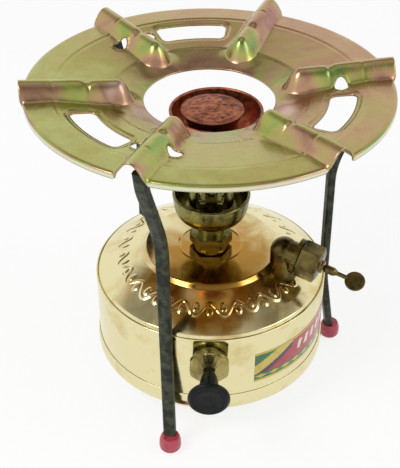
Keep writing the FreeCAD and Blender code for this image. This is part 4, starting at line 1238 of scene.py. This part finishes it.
@dataclass
class Tank:
    """Fuel tank: domed top with a raised running ornament, plain wall, rolled bottom and label."""

    wall_radius: float = 76.0
    shoulder: float = 83.3
    plateau: float = 100.0
    plateau_radius: float = 43.0
    bush_radius: float = 11.1
    vine_radius: float = 58.6
    vine_swing: float = 3.9
    vine_waves: int = 21
    vine_width: float = 0.8
    vine_height: float = 0.5
    vine_span: Point = (48.0, 69.5)
    bud_size: Point = (2.9, 1.7)
    neck_clearance: float = 9.6
    base: float = 25.2
    seam: float = 36.4
    label_start: float = -68.0
    label_end: float = -4.0
    label_low: float = 43.5
    label_high: float = 67.0
    pump_hole: float = 10.05

    def dome(self) -> np.ndarray:
        """Work out the dome's outline from its corners.

        Returns:
            Radius and height of each point, from the bush outwards.
        """
        corners = [
            (self.bush_radius, self.plateau), (19.6, self.plateau), (20.4, self.plateau + 0.45),
            (21.4, self.plateau), (self.plateau_radius, self.plateau),
            (self.plateau_radius + 2.4, self.plateau - 2.6), (59.8, 92.7), (73.4, 84.8),
            (74.9, 82.6), (74.9, 80.4),
        ]  # fmt: skip
        return np.array(rounded(corners, [0.6, 0.6, 0.6, 1.6, 1.4, 22.0, 1.5, 0.6], 8))

    def ornament(self, radius: np.ndarray, angle: np.ndarray) -> np.ndarray:
        """Height of the running vine and its buds above the plain dome.

        Args:
            radius: Distance from the axis.
            angle: Angle round it.

        Returns:
            Extra height.
        """
        phase = self.vine_waves * angle
        middle = self.vine_radius + self.vine_swing * np.sin(phase)
        lean = self.vine_swing * self.vine_waves / self.vine_radius * np.cos(phase)
        away = np.abs(radius - middle) / np.sqrt(1 + lean**2)
        relief = np.clip((self.vine_width * 1.5 - away) / self.vine_width, 0, 1)
        for side in (-1, 1):
            bud = self.vine_radius - side * self.vine_swing * 0.25
            off = off_nearest(phase, side * math.pi / 2, 2 * math.pi)
            across = off * self.vine_radius / self.vine_waves
            size = ((radius - bud) / self.bud_size[0]) ** 2 + (across / self.bud_size[1]) ** 2
            relief = np.maximum(relief, np.clip(1.5 - size, 0, 1))
        turn = angle - math.radians(FILLER_ANGLE)
        from_neck = np.hypot(radius * np.cos(turn) - FILLER_RADIUS, radius * np.sin(turn))
        clear = np.clip((from_neck - self.neck_clearance) / 1.5, 0, 1)
        return self.vine_height * smoothstep(relief) * clear

    def build_top(self) -> None:
        """Spin the dome with its ornament."""
        steps, spacing = 840, 0.42
        outline = self.dome()
        reach = np.concatenate([[0.0], np.cumsum(np.hypot(*np.diff(outline, axis=0).T))])
        near = np.interp(self.vine_span, outline[:, 0], reach)
        spots = np.unique(np.concatenate([reach, np.arange(near[0], near[1], spacing)]))
        rows = np.interp(spots, reach, outline[:, 0])
        radius, turn = np.meshgrid(rows, even_angles(steps), indexing="ij")
        height = np.repeat(np.interp(spots, reach, outline[:, 1])[:, None], steps, axis=1)
        raised = (radius > self.vine_span[0]) & (radius < self.vine_span[1])
        height = height + np.where(raised, self.ornament(radius, turn), 0)
        faces = sheet_faces(np.ndindex(len(rows) - 1, steps), steps)
        piece = mesh_object("tank_dome", round_points(radius, turn, height), faces, sharp_angle=50.0)
        dress(piece, BRASS_HEAT_AND_REFLECTION, Body.STOVE, ["tank_top"])

    def build_wall(self) -> None:
        """Draw the plain wall with a small round at its upper edge and the pump's hole."""
        inside = self.wall_radius - 1.0
        outline = rounded(
            [(inside, self.base + 1.2), (self.wall_radius, self.base + 1.2),
             (self.wall_radius, self.shoulder), (inside, self.shoulder), (inside, self.shoulder - 2)],
            [0.0, 0.7, 0.3], 4,
        )  # fmt: skip
        wall = lathe("tank_side", outline, 240)
        drill = lathe("pump_hole", [(0, 60), (self.pump_hole, 60), (self.pump_hole, 90), (0, 90)], 64)
        laid_along(drill, Vector((0, 0, PUMP_HEIGHT)), Vector((0, -1, 0)))
        dress(drilled(wall, drill), BRASS, Body.STOVE, ["tank_wall"])

    def build_bottom(self) -> None:
        """Roll the bottom rim and raise the bottom plate inside it."""
        plate = self.base + 8.0
        outer = self.wall_radius + 0.1
        outline = rounded(
            [(0, plate), (73.9, plate), (73.9, self.base), (outer + 0.5, self.base),
             (outer + 1.15, self.base + 2.6), (outer + 1.3, self.base + 6.0), (outer + 0.8, self.seam - 1.2),
             (outer + 0.1, self.seam), (outer, self.seam - 0.4), (outer, self.base + 1.0),
             (74.9, self.base + 1.0), (74.9, plate + 1.0), (0, plate + 1.0)],
            [1.5, 0.4, 0.9, 3.0, 3.0, 0.6, 0.1, 0.1, 0.1, 0.1, 1.0], 5,
        )  # fmt: skip
        dress(lathe("tank_base", outline, 240), BRASS, Body.STOVE, ["tank_bottom"])

    def ink_at(self, across: float, up: float) -> FoilInk:
        """Ink of the label's plain colour blocks: borders, a row of lozenges, slants and dashes.

        Args:
            across: Share of the label's length from its front end.
            up: Share of its height.

        Returns:
            The ink at that spot.
        """
        if up < 0.07 or up > 0.95:
            return INK_YELLOW
        if up < 0.27:
            lozenge = abs((across * 9) % 1 - 0.5) * 2 + abs(up - 0.17) / 0.06
            return INK_YELLOW if lozenge < 1 else INK_GREEN
        if across < 0.34:
            slant = across / 0.34 - (up - 0.27) / 0.68
            if slant < -0.45:
                return INK_GREEN
            if slant < 0.05:
                return INK_YELLOW
            return INK_PURPLE if slant < 0.3 else INK_RED
        dash = ((across - 0.4) * 11 - (up - 0.62) * 0.9) % 1
        return INK_CREAM if across > 0.4 and abs(up - 0.64) < 0.15 and dash < 0.46 else INK_RED

    def build_label(self) -> None:
        """Lay the foil label on the wall, its colour blocks as faces of their own."""
        columns, rows = 150, 56
        radius = self.wall_radius + 0.22
        points = []
        for i in range(rows + 1):
            height = self.label_low + (self.label_high - self.label_low) * i / rows
            for j in range(columns + 1):
                angle = math.radians(self.label_start + (self.label_end - self.label_start) * j / columns)
                points.append((radius * math.cos(angle), radius * math.sin(angle), height))
        faces = []
        inks: list[FoilInk] = []
        for i, j in np.ndindex(rows, columns):
            low = i * (columns + 1) + j
            faces.append((low, low + 1, low + columns + 2, low + columns + 1))
            inks.append(self.ink_at((j + 0.5) / columns, (i + 0.5) / rows))
        piece = mesh_object("side_label_foil", points, faces)
        dress(piece, INK_RED, Body.STOVE, ["side_label"])
        order = [INK_RED, INK_YELLOW, INK_GREEN, INK_PURPLE, INK_CREAM]
        for ink in order[1:]:
            piece.data.materials.append(ink.material())
        for face, ink in zip(piece.data.polygons, inks):
            face.material_index = order.index(ink)
        foil = piece.modifiers.new("foil", "SOLIDIFY")
        foil.thickness = 0.15 * MM
        foil.offset = -1.0

    def build(self) -> None:
        """Build the tank's pieces."""
        self.build_top()
        self.build_wall()
        self.build_bottom()
        self.build_label()


# ---- Legs ---------------------------------------------------------------------------------------


@dataclass
class Legs:
    """Three bent bars with their saddles, rivets and foot caps."""

    nodes: dict[str, Piece]
    sides: tuple[str, ...] = ("left", "right", "rear")

    def build(self) -> None:
        """Dress the legs' solids."""
        for side in self.sides:
            dress(self.nodes["leg_" + side], LEG_STEEL)
            dress(self.nodes["leg_saddle_" + side], BRASS_AGED)
            dress(self.nodes["foot_" + side], FOOT_RED)
        dress(self.nodes["leg_rivets"], LEG_STEEL)


# ---- Pump ---------------------------------------------------------------------------------------


@dataclass
class Pump:
    """Hand pump with its non-return valve."""

    nodes: dict[str, Piece]
    cap_across: float = 23.4
    cap_radius: float = 12.8
    cap_start: float = 82.6
    cap_edge: float = 86.2
    cap_end: float = 89.0
    cap_tip: float = 5.0
    cap_tool_marks: int = 18
    cap_mark_depth: float = 0.16
    rod_hole: float = 2.6
    knob_start: float = 89.8
    knob_radius: float = 12.6
    neck_length: float = 19.0
    knob_length: float = 4.2
    valve_lift: float = 1.2

    def on_axis(self, piece: Piece) -> Piece:
        """Lay a piece along the pump's axis."""
        return laid_along(piece, Vector((0, 0, PUMP_HEIGHT)), Vector((0, -1, 0)))

    def build_cap(self) -> None:
        """Thin hexagon cap, a corner up, with turned corners and a face that rises to the rod."""
        steps = 180
        angle = even_angles(steps)
        reach = self.cap_across / 2 / np.cos(off_nearest(angle, 0.0, math.pi / 3))
        reach = np.minimum(reach, self.cap_radius)
        turned = np.minimum(reach, self.cap_radius - 1.0)
        middle = (turned + self.cap_tip) / 2
        dent = self.cap_mark_depth * np.maximum(0.0, np.sin(self.cap_tool_marks * angle)) ** 3
        rise = (self.cap_edge + self.cap_end) / 2
        rows = [
            (self.rod_hole, self.cap_start), (reach - 0.5, self.cap_start),
            (reach, self.cap_start + 0.5), (reach, self.cap_edge - 0.5),
            (turned + 0.25, self.cap_edge - 0.12), (turned - 0.3, self.cap_edge + 0.06),
            (middle, rise - dent), (self.cap_tip, self.cap_end - 0.1),
            (self.cap_tip - 0.8, self.cap_end), (self.rod_hole, self.cap_end),
        ]  # fmt: skip
        cap = joined_rows("pump_cap_hex", rows, steps, sharp_angle=25.0)
        dress(self.on_axis(cap), BRASS_TURNED, Body.STOVE, ["pump_cap"])

    def build_knob(self) -> None:
        """Flat disc knob on a swelling neck, with shallow rings turned in its face."""
        neck = self.knob_start + self.neck_length
        end = neck + self.knob_length
        outline = rounded(
            [(2.5, self.knob_start), (3.4, self.knob_start), (4.6, self.knob_start + 3.4),
             (5.6, self.knob_start + 8.0), (6.1, neck - 1.2), (7.4, neck), (self.knob_radius - 1.2, neck),
             (self.knob_radius, neck + 1.3), (self.knob_radius, end - 1.5), (self.knob_radius - 1.5, end),
             (9.6, end), (9.2, end - 0.35), (8.8, end), (5.2, end - 0.3), (4.8, end - 0.6), (0, end - 0.6)],
            [0.6, 4.0, 8.0, 1.5, 0.8, 1.0, 1.0, 1.2, 0.1, 0.1, 0.1, 0.2, 0.2, 0.2], 5,
        )  # fmt: skip
        knob = lathe("pump_knob_moulding", outline + [(0, end - 3)], 96)
        dress(self.on_axis(knob), BLACK_KNOB, Body.PLUNGER, ["pump_knob"])

    def build(self) -> None:
        """Build the cap and the knob, and dress the rest."""
        self.build_cap()
        self.build_knob()
        brass = ("pump_barrel", "piston_washer", "piston_nut", "valve_body", "valve_pip", "valve_plug")
        for name in brass:
            dress(self.nodes[name], BRASS_AGED)
        dress(self.nodes["pump_rod"], STEEL)
        spring = dress(self.nodes["valve_spring"], STEEL)
        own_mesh(spring)
        dress(self.nodes["pump_leather"], LEATHER)


# ---- Filler -------------------------------------------------------------------------------------


@dataclass
class Filler:
    """Elbow neck, fuel cap and vent screw."""

    nodes: dict[str, Piece]
    height: float = 111.6
    dip: float = 10.0
    cap_across: float = 21.0
    cap_start: float = 11.5
    cap_end: float = 24.9
    cap_chamfer: float = 1.4
    boss_radius: float = 4.2
    boss: float = 2.2
    stem_hole: float = 1.56

    def on_axis(self, piece: Piece) -> Piece:
        """Lay a piece along the mouth's axis.

        Args:
            piece: The piece, made along +Z.

        Returns:
            The same piece.
        """
        turn, dip = math.radians(FILLER_ANGLE), math.radians(self.dip)
        origin = Vector((FILLER_RADIUS * math.cos(turn), FILLER_RADIUS * math.sin(turn), self.height))
        direction = Vector((math.cos(turn) * math.cos(dip), math.sin(turn) * math.cos(dip), -math.sin(dip)))
        return laid_along(piece, origin, direction)

    def build_cap(self) -> None:
        """Hexagon fuel cap with a boss for the vent screw."""
        cap = nut(
            "filler_cap_hex", self.cap_across, self.cap_start, self.cap_end, self.cap_chamfer, self.stem_hole
        )
        outline = rounded(
            [(self.stem_hole, self.cap_end - 0.5), (self.boss_radius + 0.8, self.cap_end - 0.5),
             (self.boss_radius, self.cap_end + 0.4), (self.boss_radius, self.cap_end + self.boss),
             (self.stem_hole, self.cap_end + self.boss)],
            [0.0, 0.5, 0.7], 4,
        )  # fmt: skip
        boss = self.on_axis(lathe("filler_cap_boss", outline, 48))
        dress(boss, BRASS_CAST, Body.FUEL_CAP, ["filler_cap"])
        dress(self.on_axis(cap), BRASS_CAST, Body.FUEL_CAP, ["filler_cap"])

    def build(self) -> None:
        """Build the cap and dress the rest."""
        self.build_cap()
        dress(self.nodes["filler_neck"], BRASS_CAST)
        dress(self.nodes["air_screw"], BRASS_CAST)
        dress(self.nodes["filler_gasket"], GASKET)


# ---- Burner -------------------------------------------------------------------------------------


@dataclass
class Burner:
    """Burner with its spirit cup and the two copper flame pieces."""

    nodes: dict[str, Piece]
    cup_floor: float = 119.0
    cup_height: float = 21.5
    cup_radius: float = 24.3
    cup_flat: float = 12.5
    cup_belly: Point = (23.0, 6.5)
    block_hole: float = 7.1
    flame_cup_floor: float = 180.3
    flame_cup_height: float = 20.0
    flame_cup_radius: float = 27.9
    flame_cup_hole: float = 9.0
    flame_cup_flat: float = 13.6
    flame_cup_belly: Point = (24.6, 8.5)
    flame_cup_shift: float = 2.3
    plate_radius: float = 19.0
    plate_edge: float = 200.7
    plate_root: float = 10.6
    plate_low: float = 181.7
    crown: float = 1.3
    ring_height: float = 0.25
    dot_height: float = 0.42
    petal_length: float = 3.4
    petal_height: float = 0.35

    def bowl(
        self, floor: float, height: float, hole: float, flat: float, radius: float, belly: Point
    ) -> list[Point]:
        """Outline of a pressed bowl with a rolled rim.

        Args:
            floor: Height of its underside.
            height: Height over all, rim included.
            hole: Radius of the hole in its floor.
            flat: Radius of its flat floor.
            radius: Outer radius at the rim, under the roll.
            belly: Radius of the roundest spot of the wall, and its height above the floor.

        Returns:
            Closed outline for the lathe.
        """
        rim = floor + height
        roll = 0.95
        corners = [(hole, floor), (flat, floor), (belly[0], floor + belly[1]), (radius, rim - roll)]
        outer = rounded(corners, [3.0, 14.0], 12)
        bead = []
        for i in range(9):
            turn = math.radians(-10 + 200 * i / 8)
            bead.append((radius - 0.45 + roll * math.cos(turn), rim - roll + roll * math.sin(turn)))
        inner = [(r - 1.0, z + 0.35) for r, z in reversed(outer[1:-1])]
        return outer[:-1] + bead + inner + [(hole, floor + 1.0)]

    def build_spirit_cup(self) -> None:
        """Spirit cup round the burner's foot."""
        outline = self.bowl(
            self.cup_floor, self.cup_height, self.block_hole, self.cup_flat, self.cup_radius, self.cup_belly
        )
        dress(lathe("spirit_cup_bowl", outline, 128), BRASS_AGED, Body.STOVE, ["spirit_cup"])

    def build_flame_cup(self) -> None:
        """Outer copper cup."""
        outline = self.bowl(
            self.flame_cup_floor, self.flame_cup_height, self.flame_cup_hole, self.flame_cup_flat,
            self.flame_cup_radius, self.flame_cup_belly,
        )  # fmt: skip
        cup = lathe("flame_cup_bowl", outline, 128)
        cup.data.transform(Matrix.Translation((self.flame_cup_shift * MM, 0, 0)))
        dress(cup, COPPER, Body.FLAME_CUP, ["outer_cap"])

    def plate_relief(self, radius: np.ndarray, angle: np.ndarray) -> np.ndarray:
        """Rings and dots pressed into the flame plate.

        Args:
            radius: Distance from the axis.
            angle: Angle round it.

        Returns:
            Extra height.
        """
        relief = np.zeros_like(radius)
        for circle, width in ((15.6, 0.45), (5.2, 0.4)):
            relief = relief + self.ring_height * np.exp(-(((radius - circle) / width) ** 2))
        for circle, count, size in ((12.2, 18, 0.95), (8.4, 12, 0.85)):
            off = off_nearest(angle, 0.0, 2 * math.pi / count)
            away = np.hypot(radius - circle, off * circle)
            relief = relief + self.dot_height * np.exp(-((away / size) ** 2))
        petals = np.abs(np.cos(3 * angle)) * self.petal_length
        return relief + self.petal_height / (1 + np.exp((radius - 0.6 - petals) / 0.25))

    def build_flame_plate(self) -> None:
        """Inner copper plate: crowned top with pressed rings and dots, and its skirt."""
        steps = 288
        rows = np.concatenate([np.arange(0.15, 18.1, 0.3), [18.3, 18.6, 18.85]])
        radius, turn = np.meshgrid(rows, even_angles(steps), indexing="ij")
        share = (radius / self.plate_radius) ** 2
        height = self.plate_edge + self.crown * (1 - share) - 0.45 + self.plate_relief(radius, turn)
        height = np.minimum(height, self.plate_edge + self.crown)
        lower = (
            (self.plate_radius, self.plate_edge - 0.5), (self.plate_radius, self.plate_edge - 1.0),
            (18.1, self.plate_edge - 2.0), (self.plate_root, self.plate_low),
            (self.plate_root - 1.0, self.plate_low), (16.9, self.plate_edge - 2.4),
        )  # fmt: skip
        for spot, level in lower:
            radius = np.vstack([radius, np.full(steps, spot)])
            turn = np.vstack([turn, turn[0]])
            height = np.vstack([height, np.full(steps, level)])
        faces = sheet_faces(np.ndindex(len(radius) - 1, steps), steps)
        faces.append(tuple(reversed(range(steps))))
        piece = mesh_object("flame_plate_top", round_points(radius, turn, height), faces, sharp_angle=50.0)
        dress(piece, COPPER, Body.FLAME_PLATE, ["inner_cap"])

    def build(self) -> None:
        """Build the cups and the plate, and dress the rest."""
        self.build_spirit_cup()
        self.build_flame_cup()
        self.build_flame_plate()
        for name in ("burner_boss", "burner_body", "burner_jet"):
            dress(self.nodes[name], BRASS_AGED)
        dress(self.nodes["dip_tube"], COPPER)
        dress(self.nodes["riser_gasket"], GASKET)


# ---- Studio -------------------------------------------------------------------------------------


@dataclass
class Softbox:
    """A square area lamp aimed at the stove; place, target and size are in metres, power in watts."""

    name: str
    place: Place
    size: float
    power: float
    target: Place = (0.0, 0.0, 0.12)

    def build(self) -> None:
        """Hang the lamp."""
        lamp = bpy.data.lights.new(self.name, "AREA")
        lamp.shape = "SQUARE"
        lamp.size = self.size
        lamp.energy = self.power
        holder = bpy.data.objects.new(self.name, lamp)
        holder.location = self.place
        aim = Vector(self.target) - Vector(self.place)
        holder.rotation_euler = aim.to_track_quat("-Z", "Y").to_euler()
        bpy.context.scene.collection.objects.link(holder)


@dataclass
class Studio:
    """White floor and surroundings, soft lamps and the camera.

    Attributes:
        focal_px: Focal length in pixels of the frame.
        camera_place: Place of the camera, in metres.
        room_light: Level of the light that the surroundings throw on the stove.
        room_levels: Tones of the surroundings in mirror images, from the horizon (0) to overhead (1).
    """

    focal_px: float = 969.9
    camera_place: Place = (0.0, -0.5090, 0.4844)
    pitch_deg: float = 36.53
    yaw_deg: float = 0.80
    roll_deg: float = 0.22
    sensor_mm: float = 36.0
    room_light: float = 0.62
    room_levels: tuple[tuple[float, str], ...] = (
        (0.0, "FFFFFF"), (0.42, "FFFFFF"), (0.58, "FFFFFF"), (0.72, "A6A49E"), (0.86, "8A8882"),
        (0.97, "D8D8D6"),
    )  # fmt: skip
    lamps: tuple[Softbox, ...] = (
        Softbox("key softbox", (-0.75, -0.55, 1.15), 0.5, 7.0),
        Softbox("fill softbox", (0.9, -0.3, 0.8), 0.6, 2.5),
    )

    def build_camera(self) -> None:
        """Set the camera, looking down on the stove from the front."""
        lens = bpy.data.cameras.new("camera")
        lens.sensor_width = self.sensor_mm
        lens.lens = self.focal_px * self.sensor_mm / max(FRAME_WIDTH_PX, FRAME_HEIGHT_PX)
        lens.clip_start = 0.01
        camera = bpy.data.objects.new("camera", lens)
        camera.location = self.camera_place
        aim = Matrix.Rotation(math.radians(self.yaw_deg), 3, "Z")
        aim = aim @ Matrix.Rotation(math.radians(90.0 - self.pitch_deg), 3, "X")
        aim = aim @ Matrix.Rotation(math.radians(self.roll_deg), 3, "Z")
        camera.rotation_mode = "QUATERNION"
        camera.rotation_quaternion = aim.to_quaternion()
        bpy.context.scene.collection.objects.link(camera)
        bpy.context.scene.camera = camera

    def seen_directly(self, tree: Tree) -> Socket:
        """One for camera, glossy and transmission rays, zero for the rays that light surfaces.

        Args:
            tree: Node tree of the world or a stage material.

        Returns:
            Output socket of the share.
        """
        path = add_node(tree, "ShaderNodeLightPath")
        inputs = {0: path.outputs["Is Glossy Ray"], 1: path.outputs["Is Transmission Ray"]}
        shiny = add_node(tree, "ShaderNodeMath", inputs, operation="MAXIMUM")
        inputs = {0: path.outputs["Is Camera Ray"], 1: shiny.outputs["Value"]}
        return add_node(tree, "ShaderNodeMath", inputs, operation="MAXIMUM").outputs["Value"]

    def build_world(self) -> None:
        """White surroundings that light the stove at a plain level."""
        world = bpy.data.worlds.new("studio")
        bpy.context.scene.world = world
        world.use_nodes = True
        tree = world.node_tree
        tree.nodes.clear()
        direction = add_node(tree, "ShaderNodeTexCoord")
        way = add_node(tree, "ShaderNodeSeparateXYZ", {"Vector": direction.outputs["Generated"]})
        room = add_node(tree, "ShaderNodeValToRGB", {"Fac": way.outputs["Z"]})
        fill_ramp(room.color_ramp, self.room_levels)
        path = add_node(tree, "ShaderNodeLightPath")
        shown = add_node(
            tree,
            "ShaderNodeMix",
            {"Factor": path.outputs["Is Camera Ray"], 6: room.outputs["Color"], 7: linear("FFFFFF")},
            data_type="RGBA",
        )
        level = add_node(
            tree,
            "ShaderNodeMix",
            {
                "Factor": self.seen_directly(tree),
                6: (self.room_light, self.room_light, self.room_light, 1.0),
                7: shown.outputs[2],
            },
            data_type="RGBA",
        )
        sky = add_node(tree, "ShaderNodeBackground", {"Color": level.outputs[2], "Strength": 1.0})
        add_node(tree, "ShaderNodeOutputWorld", {"Surface": sky.outputs["Background"]})

    def build_floor(self) -> None:
        """White floor that keeps the stove's soft shadow."""
        size = 3000.0
        corners = [(-size, -size, 0), (size, -size, 0), (size, size, 0), (-size, size, 0)]
        floor = mesh_object("floor", corners, [(0, 1, 2, 3)])
        floor.location.z = -0.05 * MM
        material = bpy.data.materials.new("paper, matt white")
        material.use_nodes = True
        tree = material.node_tree
        tree.nodes.clear()
        paper = add_node(tree, "ShaderNodeBsdfDiffuse", {"Color": linear("FFFFFF")})
        glow = add_node(tree, "ShaderNodeEmission", {"Color": linear("FFFFFF"), "Strength": 1.0})
        share = add_node(
            tree, "ShaderNodeMapRange", {"Value": self.seen_directly(tree), "To Min": 0.0, "To Max": 0.8}
        )
        mixed = add_node(
            tree,
            "ShaderNodeMixShader",
            {0: share.outputs["Result"], 1: paper.outputs["BSDF"], 2: glow.outputs["Emission"]},
        )
        add_node(tree, "ShaderNodeOutputMaterial", {"Surface": mixed.outputs["Shader"]})
        floor.data.materials.append(material)

    def build(self) -> None:
        """Set up the whole studio."""
        self.build_world()
        self.build_floor()
        for lamp in self.lamps:
            lamp.build()
        self.build_camera()
        bpy.context.scene.view_settings.view_transform = "Standard"


def main() -> None:
    """Build the stove's looks and the studio round them."""
    logging.basicConfig(level=logging.INFO, format="%(name)s %(message)s")
    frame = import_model()
    nodes = frame["nodes"]
    Tank().build()
    Legs(nodes).build()
    Pump(nodes).build()
    Filler(nodes).build()
    Burner(nodes).build()
    PotRing().build()
    Studio().build()
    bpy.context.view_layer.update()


if __name__ == "__main__":
    main()
